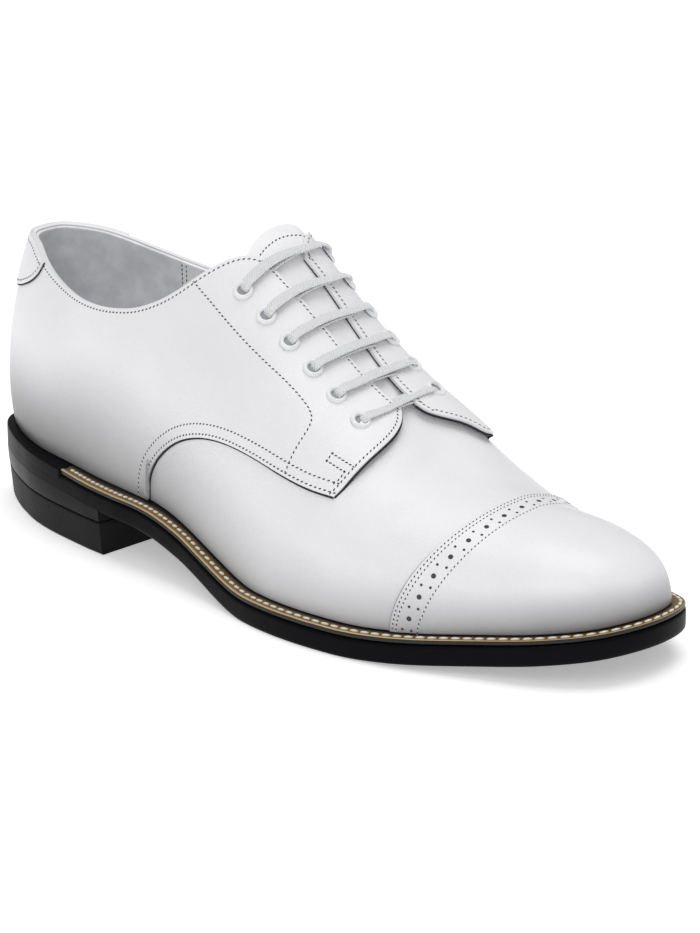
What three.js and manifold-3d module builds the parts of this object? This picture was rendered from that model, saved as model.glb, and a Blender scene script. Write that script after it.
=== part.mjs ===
// A man's right cap toe shoe with open lacing, built as its separate pieces: a hollow upper with a
// toe cap, heel tab and tongue, laced over a welted leather sole with a stacked heel.
// Millimetres. The origin is on the floor under the middle of the heel, +X points to the toe,
// +Y to the inner side of the foot and +Z up.
import * as THREE from "three";
import { mergeVertices } from "three/addons/utils/BufferGeometryUtils.js";
import Module from "manifold-3d";

const wasm = await Module();
wasm.setup();

// Driving dimensions
const soleLength = 291; // outsole, heel back to toe tip
const ballWidth = 102; // outsole across the ball of the foot
const instepHeight = 100; // ridge of the last over the welt, at its highest
const heelBack = -42; // where the outsole starts, from the origin
const heelLength = 83.5; // heel back to the heel's front face
const topPieceHeight = 12; // rubber top piece, from the floor
const heelBaseHeight = 4.9; // stack between the top piece and the outsole
const heelTaper = 1.6; // how far the heel's foot lies inside the outsole's edge
const soleThickness = 7.1;
const toeSpring = 10.6; // how far the outsole's toe stands off the floor
const weltThickness = 1.7;
const weltInset = 0.4; // welt's edge inside the outsole's edge
const weltShow = 4.6; // how far the sole's edge shows outside the upper
const weltWidth = 13; // outsole's edge to the welt's inner edge
const weltStart = 62; // heel back to where the welt begins
const insoleThickness = 2.6;
const vampWall = 1.6; // vamp and lining
const overlayWall = 1.3; // quarter over the vamp, and toe cap with its clearance
const facingWall = 1.8; // facings, where they ride over the tongue
const backTabWall = 0.9;
const gap = 0.3; // between pieces that touch on the real shoe
const slitWidth = 9; // between the two facings, where they are closest
const slitOffset = 0.02353 * ballWidth; // middle of the slit, to the inner side of the middle line
const tongueTop = 0.41065 * soleLength; // heel back to the tongue's upper edge
const tongueWidth = 0.46078 * ballWidth;
const throatAlong = 0.6323 * soleLength; // heel back to the seam of tongue and vamp
const throatHeight = 0.3; // the throat reaches down to here, over the heel seat, a share of instepHeight
const collarTilt = 0.03; // rise of the collar towards the inner side, per millimetre across
const eyeletCount = 6;
const eyeletFirst = 0.45223 * soleLength; // heel back to the top eyelets
const eyeletPitch = 0.03677 * soleLength; // along the foot
const eyeletSpread = 0.38824 * ballWidth; // across a pair, from hole to hole
const eyeletFlangeRadius = 3.9;
const eyeletFlange = 0.9;
const eyeletBore = 2.3;
const eyeletWall = 0.5;
const laceWidth = 5;
const laceThickness = 1.5;
const laceClearance = 0.85; // over an eyelet's flange, which is flat where the skin is round

// The last
// A row for each section from the heel back to the toe tip. Along and across are shares of
// soleLength and ballWidth: outer and inner are on the outsole's edge, and the ridge is the line
// over the instep. Height is a share of instepHeight. Rise is how far up the wall stands before it
// turns over, crown how flat its top is, and lean how far it leans out, a share of ballWidth.
const columns = [
  "outerAlong", "outerAcross", "innerAlong", "innerAcross", "ridgeAlong", "ridgeAcross",
  "height", "rise", "outerCrown", "innerCrown", "outerLean", "innerLean",
];
const sections = [
  [0, 0, 0, 0, 0.103, 0.01, 0.96, 0.37, 0.53, 0.6, 0.069, 0.064],
  [0.013, -0.148, 0.013, 0.147, 0.11, 0.01, 0.96, 0.39, 0.52, 0.61, 0.069, 0.064],
  [0.065, -0.255, 0.062, 0.265, 0.144, 0.015, 0.96, 0.45, 0.5, 0.63, 0.069, 0.069],
  [0.144, -0.342, 0.144, 0.319, 0.213, 0.025, 0.965, 0.51, 0.46, 0.65, 0.064, 0.074],
  [0.247, -0.378, 0.247, 0.299, 0.289, 0.072, 1.08, 0.68, 0.39, 0.64, 0.057, 0.082],
  [0.361, -0.397, 0.344, 0.289, 0.371, 0.113, 1.032, 0.8, 0.32, 0.61, 0.05, 0.091],
  [0.478, -0.451, 0.447, 0.294, 0.454, 0.138, 0.917, 0.85, 0.33, 0.52, 0.045, 0.087],
  [0.591, -0.51, 0.567, 0.353, 0.54, 0.125, 0.767, 0.87, 0.35, 0.41, 0.039, 0.069],
  [0.687, -0.503, 0.67, 0.441, 0.625, 0.102, 0.595, 0.83, 0.41, 0.33, 0.036, 0.041],
  [0.772, -0.447, 0.763, 0.485, 0.704, 0.088, 0.455, 0.78, 0.48, 0.26, 0.036, 0.017],
  [0.857, -0.337, 0.856, 0.454, 0.784, 0.082, 0.362, 0.72, 0.53, 0.19, 0.038, 0.004],
  [0.93, -0.237, 0.925, 0.38, 0.852, 0.082, 0.309, 0.81, 0.56, 0.39, 0.041, 0.008],
  [0.98, -0.108, 0.983, 0.273, 0.891, 0.084, 0.275, 0.81, 0.56, 0.54, 0.038, -0.008],
  [1, 0.086, 1, 0.086, 0.915, 0.087, 0.251, 0.69, 0.51, 0.51, 0.02, 0.02],
].map((row) => Object.fromEntries(columns.map((name, k) => [name, row[k]])));
const lastRow = sections.length - 1;
const stepsAlong = 3 * lastRow; // facets from heel to toe
const stepsAcross = 20; // facets from the outer edge over the ridge to the inner edge
const roundSteps = 12; // facets around an eyelet

// Seams and edges seen from the side. Heights are over the heel seat, as shares of instepHeight,
// and along is from the heel back, as a share of soleLength.
const collarLine = [
  { along: 0.01, height: 0.7 },
  { along: 0.041, height: 0.697 },
  { along: 0.086, height: 0.682 },
  { along: 0.13, height: 0.642 },
  { along: 0.169, height: 0.616 },
  { along: 0.247, height: 0.589 },
  { along: 0.309, height: 0.617 },
  { along: 0.341, height: 0.657 },
  { along: 0.387, height: 0.737 },
  { along: 0.411, height: 0.805 },
  { along: 0.419, height: 0.86 },
  { along: 0.433, height: 0.835 },
  { along: 0.448, height: 0.815 },
];
const quarterLine = [
  { along: 0.35, height: -0.1 },
  { along: 0.351, height: 0.01 },
  { along: 0.354, height: 0.06 },
  { along: 0.368, height: 0.122 },
  { along: 0.397, height: 0.19 },
  { along: 0.427, height: 0.242 },
  { along: 0.463, height: 0.276 },
  { along: 0.507, height: 0.279 },
  { along: 0.556, height: 0.264 },
  { along: 0.626, height: 0.221 },
  { along: 0.654, height: 0.207 },
  { along: 0.667, height: 0.225 },
  { along: 0.672, height: 0.255 },
  { along: 0.673, height: 0.3 },
];
const capLine = [
  { along: 0.761, height: -0.21 },
  { along: 0.767, height: -0.082 },
  { along: 0.775, height: 0 },
  { along: 0.784, height: 0.065 },
  { along: 0.791, height: 0.126 },
  { along: 0.794, height: 0.171 },
  { along: 0.796, height: 0.25 },
];
const backTabLine = [
  { along: -0.041, height: 0.52 },
  { along: 0.061, height: 0.523 },
  { along: 0.081, height: 0.533 },
  { along: 0.109, height: 0.56 },
  { along: 0.124, height: 0.61 },
  { along: 0.128, height: 0.7 },
];
// Half the slit between the facings, seen from above, as a share of slitWidth.
const slitLine = [
  { along: 0.406, half: 2.1 },
  { along: 0.417, half: 1.35 },
  { along: 0.432, half: 0.98 },
  { along: 0.463, half: 0.8 },
  { along: 0.529, half: 0.68 },
  { along: 0.59, half: 0.56 },
  { along: 0.626, half: 0.5 },
  { along: 0.643, half: 0.53 },
  { along: 0.656, half: 0.75 },
  { along: 0.664, half: 1.1 },
  { along: 0.67, half: 1.7 },
  { along: 0.674, half: 2.6 },
];
// Half the tongue's upper end, seen from above, as a share of tongueWidth, and how far it is
// rounded off behind the upper edge.
const tongueEnd = [
  { half: 0.2, back: 0 },
  { half: 0.32, back: 0.03 },
  { half: 0.43, back: 0.13 },
  { half: 0.485, back: 0.3 },
  { half: 0.5, back: 0.6 },
];

const heelHeight = topPieceHeight + heelBaseHeight + 2 * gap;
const weltTop = soleThickness + gap + weltThickness; // over the outsole's underside
const seatLevel = heelHeight + weltTop + gap; // underside of the upper at the heel
const fullWall = vampWall + overlayWall;
const facingLift = facingWall - overlayWall + gap; // outside of the facing over the overlays

const smoothstep = (value, from, to) => THREE.MathUtils.smoothstep(value, from, to);
const alongToX = (along) => heelBack + along * soleLength;
const sideHeight = (height) => seatLevel + height * instepHeight;

// Underside of the outsole: level under the heel, down through the waist, level under the ball
// of the foot and up to the toe spring.
function undersideZ(x) {
  const waistStart = 0.247;
  const waistEnd = 0.564;
  const springStart = 0.704;
  const along = (x - heelBack) / soleLength;
  const waist = THREE.MathUtils.clamp((along - waistStart) / (waistEnd - waistStart), 0, 1) ** 1.4;
  const spring = Math.max(0, (along - springStart) / (1 - springStart)) ** 1.55;
  return heelHeight * (1 - smoothstep(waist, 0, 1)) + toeSpring * spring;
}

// A table's column on one side of the last, by a Catmull-Rom curve. Past either end it runs on
// down the other side, so that heel and toe are round.
function tableValue(u, side, outerName, innerName) {
  const at = (k) => {
    const back = k < 0;
    const front = k > lastRow;
    const row = back ? -k : front ? 2 * lastRow - k : k;
    const outer = side < 0 !== (back || front);
    return sections[row][outer ? outerName : innerName];
  };
  const k = Math.floor(u);
  const f = u - k;
  const [a, b, c, d] = [at(k - 1), at(k), at(k + 1), at(k + 2)];
  return b + 0.5 * f * (c - a + f * (2 * a - 5 * b + 4 * c - d + f * (3 * (b - c) + d - a)));
}

// A point of the outsole's edge, moved inwards: side -1 is the outer side and 1 the inner one.
function soleEdge(u, side, inset) {
  const place = (v) =>
    new THREE.Vector2(
      alongToX(tableValue(v, side, "outerAlong", "innerAlong")),
      ballWidth * tableValue(v, side, "outerAcross", "innerAcross"),
    );
  const step = 0.01;
  const tangent = place(u + step).sub(place(u - step)).normalize();
  const inwards = new THREE.Vector2(side * tangent.y, -side * tangent.x);
  return place(u).addScaledVector(inwards, inset);
}

function ridgeAt(u) {
  const value = (name) => tableValue(u, -1, name, name);
  const x = alongToX(value("ridgeAlong"));
  const z = undersideZ(x) + weltTop + gap + instepHeight * value("height");
  return new THREE.Vector3(x, ballWidth * value("ridgeAcross"), z);
}

// Rise of the ridge per millimetre along the foot, taken over one row of the table.
function ridgeSlope(u) {
  const back = ridgeAt(Math.max(u - 0.5, 0));
  const front = ridgeAt(Math.min(u + 0.5, lastRow));
  return (front.z - back.z) / (front.x - back.x);
}

// The outer skin of the shoe: u runs from the heel back to the toe tip, and t from 0 at the outer
// feather edge over the ridge at 1 to 2 at the inner one. Each half section is a Bezier curve.
function skin(u, t) {
  if (u < 0) return skin(-u, 2 - t);
  if (u > lastRow) return skin(2 * lastRow - u, 2 - t);
  const side = t <= 1 ? -1 : 1;
  const s = t <= 1 ? t : 2 - t;
  const foot = soleEdge(u, side, weltShow);
  const start = new THREE.Vector3(foot.x, foot.y, undersideZ(foot.x) + weltTop + gap);
  const ridge = ridgeAt(u);
  const across = new THREE.Vector3(ridge.x - start.x, ridge.y - start.y, 0);
  const lean = ballWidth * tableValue(u, side, "outerLean", "innerLean");
  const wall = start.clone().addScaledVector(across.clone().normalize(), -lean);
  wall.z += (ridge.z - start.z) * tableValue(u, side, "rise", "rise");
  const crown = tableValue(u, side, "outerCrown", "innerCrown");
  const top = ridge.clone().addScaledVector(across, -crown);
  top.z -= crown * across.x * ridgeSlope(u);
  return new THREE.CubicBezierCurve3(start, wall, top, ridge).getPoint(s);
}

function skinNormal(u, t) {
  const step = 0.02;
  const alongWay = skin(u + step, t).sub(skin(u - step, t));
  const overWay = skin(u, Math.min(t + step, 2)).sub(skin(u, Math.max(t - step, 0)));
  const normal = alongWay.cross(overWay);
  return normal.lengthSq() > 1e-9 ? normal.normalize() : new THREE.Vector3(0, 0, 1);
}

const skinPoint = (u, t, depth) => skin(u, t).addScaledVector(skinNormal(u, t), -depth);

// A solid from triangles that list their corners. Faces share a corner where they share the vector.
function solidFrom(triangles) {
  const places = new Map();
  const indexOf = (corner) => {
    if (!places.has(corner)) places.set(corner, places.size);
    return places.get(corner);
  };
  const faces = triangles.map((corners) => corners.map(indexOf));
  const triVerts = faces.filter(([p, q, r]) => p !== q && q !== r && r !== p).flat();
  const vertProperties = [...places.keys()].flatMap((corner) => corner.toArray());
  return makeSolid(vertProperties, triVerts);
}

function makeSolid(places, corners) {
  const vertProperties = new Float32Array(places);
  const triVerts = new Uint32Array(corners);
  return new wasm.Manifold(new wasm.Mesh({ numProp: 3, vertProperties, triVerts }));
}

function solidOf(geometry) {
  const bare = geometry.clone().deleteAttribute("normal").deleteAttribute("uv");
  const merged = mergeVertices(bare, 1e-4);
  return makeSolid(merged.attributes.position.array, merged.index.array);
}

function geometryFrom(solid) {
  const mesh = solid.getMesh();
  const geometry = new THREE.BufferGeometry();
  geometry.setAttribute("position", new THREE.BufferAttribute(mesh.vertProperties, 3));
  geometry.setIndex(new THREE.BufferAttribute(mesh.triVerts, 1));
  return geometry;
}

// A closed shell over the cells of the skin that keep(u, t) chooses, between two depths below it.
function shell(keep, outerDepth, innerDepth) {
  const uAt = (i) => (lastRow * i) / stepsAlong;
  const tAt = (j) => (2 * j) / stepsAcross;
  const layer = (depth) => {
    const rows = Array.from({ length: stepsAlong + 1 }, (_, i) =>
      Array.from({ length: stepsAcross + 1 }, (_, j) => {
        return skinPoint(uAt(i), tAt(j), depth(uAt(i), tAt(j)));
      }),
    );
    for (const end of [rows[0], rows[stepsAlong]]) {
      for (let j = 0; 2 * j < stepsAcross; j += 1) end[stepsAcross - j] = end[j];
    }
    return rows;
  };
  const outer = layer(outerDepth);
  const inner = layer(innerDepth);
  const kept = (i, j) => {
    if (j < 0 || j >= stepsAcross) return false;
    const folded = i < 0 || i >= stepsAlong;
    const row = i < 0 ? 0 : Math.min(i, stepsAlong - 1);
    return keep(uAt(row + 0.5), tAt((folded ? stepsAcross - 1 - j : j) + 0.5));
  };
  const triangles = [];
  const quad = (a, b, c, d) => triangles.push([a, b, c], [a, c, d]);
  for (let i = 0; i < stepsAlong; i += 1) {
    for (let j = 0; j < stepsAcross; j += 1) {
      if (!kept(i, j)) continue;
      const corners = [[i, j], [i + 1, j], [i + 1, j + 1], [i, j + 1]];
      quad(...corners.map(([p, q]) => outer[p][q]));
      quad(...corners.map(([p, q]) => inner[p][q]).reverse());
      const neighbours = [[i, j - 1], [i + 1, j], [i, j + 1], [i - 1, j]];
      neighbours.forEach(([p, q], side) => {
        if (kept(p, q)) return;
        const [i0, j0] = corners[side];
        const [i1, j1] = corners[(side + 1) % 4];
        quad(outer[i1][j1], outer[i0][j0], inner[i0][j0], inner[i1][j1]);
      });
    }
  }
  return solidFrom(triangles);
}

// A slab over the sole's plan, between two heights, its foot and top each set in from the edge.
function slab(footInset, topInset, footZ, topZ) {
  const stripCount = 2;
  const level = (inset, heightAt) =>
    Array.from({ length: stepsAlong + 1 }, (_, i) => {
      const u = (lastRow * i) / stepsAlong;
      const outer = soleEdge(u, -1, inset);
      const inner = soleEdge(u, 1, inset);
      const tip = new THREE.Vector3(outer.x, outer.y, heightAt(outer.x));
      if (i === 0 || i === stepsAlong) return Array(stripCount + 1).fill(tip);
      return Array.from({ length: stripCount + 1 }, (_, k) => {
        const place = outer.clone().lerp(inner, k / stripCount);
        return new THREE.Vector3(place.x, place.y, heightAt(place.x));
      });
    });
  const foot = level(footInset, footZ);
  const top = level(topInset, topZ);
  const triangles = [];
  const quad = (a, b, c, d) => triangles.push([a, b, c], [a, c, d]);
  for (let i = 0; i < stepsAlong; i += 1) {
    for (let k = 0; k < stripCount; k += 1) {
      quad(top[i][k], top[i + 1][k], top[i + 1][k + 1], top[i][k + 1]);
      quad(foot[i][k + 1], foot[i + 1][k + 1], foot[i + 1][k], foot[i][k]);
    }
    quad(foot[i][0], foot[i + 1][0], top[i + 1][0], top[i][0]);
    quad(top[i][stripCount], top[i + 1][stripCount], foot[i + 1][stripCount], foot[i][stripCount]);
  }
  return solidFrom(triangles);
}

// A prism across the shoe from an outline seen from the side, and one upright from above.
function sidePrism(outline, tilt = 0) {
  const reach = ballWidth;
  const shape = new THREE.Shape(outline.map(([x, z]) => new THREE.Vector2(x, z)));
  const geometry = new THREE.ExtrudeGeometry(shape, { depth: 2 * reach, bevelEnabled: false });
  geometry.rotateX(Math.PI / 2);
  geometry.translate(0, reach, 0);
  const shear = new THREE.Matrix4().makeShear(0, 0, 0, tilt, 0, 0);
  return solidOf(geometry.applyMatrix4(shear));
}

function uprightPrism(outline, low, high) {
  const shape = new THREE.Shape(outline.map(([x, y]) => new THREE.Vector2(x, y)));
  const geometry = new THREE.ExtrudeGeometry(shape, { depth: high - low, bevelEnabled: false });
  return solidOf(geometry.translate(0, 0, low));
}

// A smooth line through places, and one through a table of places seen from the side.
function smoothLine(places, steps) {
  const curve = new THREE.SplineCurve(places.map(([x, y]) => new THREE.Vector2(x, y)));
  return curve.getPoints(steps).map((point) => point.toArray());
}

const sideLine = (rows, steps) =>
  smoothLine(rows.map(({ along, height }) => [alongToX(along), sideHeight(height)]), steps);

const sky = seatLevel + 1.5 * instepHeight;
const behind = heelBack - 20;
const ahead = heelBack + soleLength + 20;
const behindLine = (x) => sidePrism([[behind, -1], [x, -1], [x, sky], [behind, sky]]);

// Places on the skin
// The section and share of the skin's crown over a place of the plan, by Newton's steps.
function skinPlace(x, y) {
  let u = 7;
  let t = y < slitOffset ? 0.6 : 1.3;
  const step = 0.01;
  for (let round = 0; round < 30; round += 1) {
    const here = skin(u, t);
    const alongWay = skin(u + step, t).sub(here).divideScalar(step);
    const overWay = skin(u, t + step).sub(here).divideScalar(step);
    const det = alongWay.x * overWay.y - alongWay.y * overWay.x;
    const dx = x - here.x;
    const dy = y - here.y;
    u += (0.6 * (dx * overWay.y - dy * overWay.x)) / det;
    t += (0.6 * (alongWay.x * dy - alongWay.y * dx)) / det;
  }
  return { u, t };
}

// Seats a geometry, made around the Z axis, on the skin with Z along its normal.
function seated(geometry, { u, t }, depth) {
  const turn = new THREE.Quaternion().setFromUnitVectors(new THREE.Vector3(0, 0, 1), skinNormal(u, t));
  const place = skinPoint(u, t, depth);
  return geometry.applyMatrix4(new THREE.Matrix4().compose(place, turn, new THREE.Vector3(1, 1, 1)));
}

const eyelets = Array.from({ length: eyeletCount }, (_, k) => {
  const x = heelBack + eyeletFirst + k * eyeletPitch;
  const outer = skinPlace(x, slitOffset - eyeletSpread / 2);
  const inner = skinPlace(x, slitOffset + eyeletSpread / 2);
  return { x, outer, inner };
});

// Upper: quarters with their facings, lapped over the vamp, open at collar, slit and underneath
const tongueEdge = 0.5; // share of t where the tongue's edges lie under the facings
const stripEdge = 0.42; // share of t where the vamp's side strips end, short of the tongue
const fromFeather = (t) => Math.min(t, 2 - t);
const facingRise = (u, t) => smoothstep(fromFeather(t), 0.36, tongueEdge) * smoothstep(u, 4.6, 5.4);
const quarterOutside = (u, t) => -facingLift * facingRise(u, t);
const quarterInside = (u, t) => (fromFeather(t) > stripEdge && u > 5 ? overlayWall - gap : fullWall);

function slitPrism() {
  const edge = smoothLine(slitLine.map(({ along, half }) => [alongToX(along), half * slitWidth]), 18);
  const outerEdge = edge.map(([x, half]) => [x, slitOffset - half]);
  const innerEdge = edge.map(([x, half]) => [x, slitOffset + half]).reverse();
  return uprightPrism([...outerEdge, ...innerEdge], seatLevel, sky);
}

function collarPrism() {
  const line = sideLine(collarLine, 24);
  return sidePrism([...line, [line.at(-1)[0], sky], [behind, sky], [behind, line[0][1]]], collarTilt);
}

function upper() {
  const seam = sideLine(quarterLine, 28);
  const area = sidePrism([[behind, -1], ...seam, [seam.at(-1)[0], sky], [behind, sky]]);
  let quarters = shell((u) => u < 8.7, quarterOutside, quarterInside);
  quarters = quarters.intersect(area).subtract(collarPrism()).subtract(slitPrism());
  const radius = eyeletBore + eyeletWall + gap;
  for (const place of eyelets.flatMap(({ outer, inner }) => [outer, inner])) {
    const drill = new THREE.CylinderGeometry(radius, radius, 8, roundSteps).rotateX(Math.PI / 2);
    quarters = quarters.subtract(solidOf(seated(drill, place, 0)));
  }
  const covered = (u, t) => u > 4.6 && (u > 7.3 || fromFeather(t) < stripEdge);
  const throatX = heelBack + throatAlong;
  const half = tongueWidth / 2 + gap;
  const throat = uprightPrism(
    [
      [heelBack, slitOffset - half],
      [throatX, slitOffset - half],
      [throatX, slitOffset + half],
      [heelBack, slitOffset + half],
    ],
    sideHeight(throatHeight),
    sky,
  );
  const vamp = shell(covered, () => overlayWall, () => fullWall).subtract(throat).subtract(collarPrism());
  return quarters.add(vamp);
}

// Toe cap over the vamp, and the tab over the back of the quarters
function toeCap() {
  const seam = sideLine(capLine, 12);
  const front = [[seam.at(-1)[0], sky], [ahead, sky], [ahead, seam[0][1]]];
  const area = sidePrism([...seam, ...front].reverse());
  return shell((u) => u > 8.3, () => 0, () => overlayWall - gap).intersect(area);
}

function backTab() {
  const seam = sideLine(backTabLine, 12);
  const area = sidePrism([...seam, [behind, seam.at(-1)[1]]]);
  const cover = shell((u, t) => u < 4, () => -gap - backTabWall, () => -gap);
  return cover.intersect(area).subtract(collarPrism());
}

// Tongue, under the facings
function tongue() {
  const start = heelBack + tongueTop;
  const end = heelBack + throatAlong - gap;
  const round = tongueEnd.map(({ half, back }) => [half * tongueWidth, back * tongueWidth]);
  const corner = smoothLine(round, 6);
  const outerEdge = corner.map(([half, back]) => [start + back, slitOffset - half]);
  const innerEdge = corner.map(([half, back]) => [start + back, slitOffset + half]).reverse();
  const outerCorner = [end, slitOffset - tongueWidth / 2];
  const innerCorner = [end, slitOffset + tongueWidth / 2];
  const outline = [...outerEdge, outerCorner, innerCorner, ...innerEdge];
  const area = uprightPrism(outline, sideHeight(throatHeight), sky);
  const covered = (u, t) => u > 4.6 && u < 8.7 && fromFeather(t) > tongueEdge;
  return shell(covered, () => overlayWall, () => fullWall).intersect(area);
}

// Sole and heel
const over = (height) => (x) => undersideZ(x) + height;

function outsole() {
  const seat = slab(0, 0, over(soleThickness / 2), over(weltTop));
  const behindWelt = behindLine(heelBack + weltStart - gap);
  return slab(0, 0, over(0), over(soleThickness)).add(seat.intersect(behindWelt));
}

function welt() {
  const ring = slab(weltInset, weltInset, over(soleThickness + gap), over(weltTop));
  const hole = slab(weltWidth, weltWidth, over(soleThickness - gap), over(weltTop + 1));
  return ring.subtract(hole).subtract(behindLine(heelBack + weltStart));
}

function insole() {
  const inset = weltShow + fullWall + gap;
  return slab(inset, inset, over(weltTop + gap), over(weltTop + gap + insoleThickness));
}

const taperAt = (z) => heelTaper * (1 - z / heelHeight);

function heelBase() {
  const foot = topPieceHeight + gap;
  const footZ = (x) => Math.min(foot, undersideZ(x) - 3 * gap);
  const piece = slab(taperAt(foot), taperAt(heelHeight - gap), footZ, over(-gap));
  return piece.intersect(behindLine(heelBack + heelLength));
}

function heelTopPiece() {
  const piece = slab(taperAt(0), taperAt(topPieceHeight), () => 0, () => topPieceHeight);
  return piece.intersect(behindLine(heelBack + heelLength));
}

// Eyelets and lace
function eyelet(place) {
  const barrel = eyeletBore + eyeletWall;
  const foot = -facingWall;
  const profile = [
    [eyeletBore, foot],
    [barrel, foot],
    [barrel, 0],
    [eyeletFlangeRadius, 0],
    [0.85 * eyeletFlangeRadius, eyeletFlange],
    [eyeletBore, 0.6 * eyeletFlange],
    [eyeletBore, foot],
  ].map(([radius, z]) => new THREE.Vector2(radius, z));
  const ring = new THREE.LatheGeometry(profile, roundSteps).rotateX(Math.PI / 2);
  return solidOf(seated(ring, place, -facingLift - gap));
}

function laceBar({ x }) {
  const steps = 8;
  const reach = eyeletSpread / 2 + eyeletBore;
  const level = facingLift + gap + eyeletFlange + laceClearance;
  const edge = laceThickness / 2;
  const rings = Array.from({ length: steps + 1 }, (_, k) => {
    const { u, t } = skinPlace(x, slitOffset - reach + (2 * reach * k) / steps);
    const along = new THREE.Vector3(1, 0, 0).projectOnPlane(skinNormal(u, t)).normalize();
    const corner = (side, height) =>
      skinPoint(u, t, -level - height).addScaledVector(along, (side * laceWidth) / 2);
    return [
      corner(-0.8, 0),
      corner(0.8, 0),
      corner(1, edge),
      corner(0.8, laceThickness),
      corner(-0.8, laceThickness),
      corner(-1, edge),
    ];
  });
  const triangles = [];
  const sides = rings[0].length;
  for (let k = 0; k < steps; k += 1) {
    for (let c = 0; c < sides; c += 1) {
      const d = (c + 1) % sides;
      triangles.push([rings[k + 1][d], rings[k][d], rings[k][c]]);
      triangles.push([rings[k + 1][c], rings[k + 1][d], rings[k][c]]);
    }
  }
  for (let c = 1; c < sides - 1; c += 1) {
    triangles.push([rings[0][c], rings[0][c + 1], rings[0][0]]);
    triangles.push([rings[steps][c + 1], rings[steps][c], rings[steps][0]]);
  }
  return solidFrom(triangles);
}

// Assembly
const whiteLeather = { colour: 0xe9eaee, roughness: 0.42 };
const blackLeather = { colour: 0x17171a, roughness: 0.35 };
const pieces = {
  upper: { finish: whiteLeather, solid: upper() },
  toe_cap: { finish: whiteLeather, solid: toeCap() },
  back_tab: { finish: whiteLeather, solid: backTab() },
  tongue: { finish: whiteLeather, solid: tongue() },
  insole: { finish: { colour: 0xcfcfd2, roughness: 0.8 }, solid: insole() },
  welt: { finish: { colour: 0xb8945c, roughness: 0.6 }, solid: welt() },
  outsole: { finish: blackLeather, solid: outsole() },
  heel_base: { finish: blackLeather, solid: heelBase() },
  heel_top_piece: { finish: { colour: 0x1b1b1d, roughness: 0.6 }, solid: heelTopPiece() },
};
eyelets.forEach((pair, k) => {
  const finish = { colour: 0xf2f2f4, roughness: 0.35 };
  pieces[`eyelet_outer_${k + 1}`] = { finish, solid: eyelet(pair.outer) };
  pieces[`eyelet_inner_${k + 1}`] = { finish, solid: eyelet(pair.inner) };
  pieces[`lace_bar_${k + 1}`] = { finish: { colour: 0xf4f4f5, roughness: 0.9 }, solid: laceBar(pair) };
});

const group = new THREE.Group();
for (const [name, { finish, solid }] of Object.entries(pieces)) {
  const { colour, roughness } = finish;
  const material = new THREE.MeshStandardMaterial({ color: colour, roughness, metalness: 0 });
  const mesh = new THREE.Mesh(geometryFrom(solid), material);
  mesh.name = name;
  group.add(mesh);
}

export default group;
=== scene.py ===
"""A man's cap toe lace-up shoe for the right foot: white leather, open lacing, welted leather sole."""
import math

import bmesh
import bpy
import numpy as np
from mathutils import Matrix, Vector


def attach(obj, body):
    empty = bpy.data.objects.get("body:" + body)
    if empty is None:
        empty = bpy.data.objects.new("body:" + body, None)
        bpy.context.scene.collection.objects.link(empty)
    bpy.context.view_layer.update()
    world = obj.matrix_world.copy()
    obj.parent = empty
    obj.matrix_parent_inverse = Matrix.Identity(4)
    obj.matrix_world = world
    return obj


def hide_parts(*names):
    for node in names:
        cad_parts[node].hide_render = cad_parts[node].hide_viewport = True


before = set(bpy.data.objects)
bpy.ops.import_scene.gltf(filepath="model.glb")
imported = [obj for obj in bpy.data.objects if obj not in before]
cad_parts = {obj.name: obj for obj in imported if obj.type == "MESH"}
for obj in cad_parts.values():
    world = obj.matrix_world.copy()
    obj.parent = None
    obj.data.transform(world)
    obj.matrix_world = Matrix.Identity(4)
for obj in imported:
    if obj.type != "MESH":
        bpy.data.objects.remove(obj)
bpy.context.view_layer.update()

# Camera
# A long lens stands before the shoe's outer side, a little towards the toe, and looks down on it.
camera_turn, camera_rise = math.radians(44.267), math.radians(19.028)
camera_back = Vector((
    math.sin(camera_turn) * math.cos(camera_rise),
    -math.cos(camera_turn) * math.cos(camera_rise),
    math.sin(camera_rise),
))
camera_data = bpy.data.cameras.new("camera")
camera_data.lens = 143.23
camera_data.sensor_width = 36
camera_data.clip_end = 20
camera = bpy.data.objects.new("camera", camera_data)
camera.location = Vector((0.123, -0.0016, 0.04245)) + 1.2353 * camera_back
camera.rotation_euler = camera_back.to_track_quat("Z", "Y").to_euler()
bpy.context.collection.objects.link(camera)
bpy.context.scene.camera = camera

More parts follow.
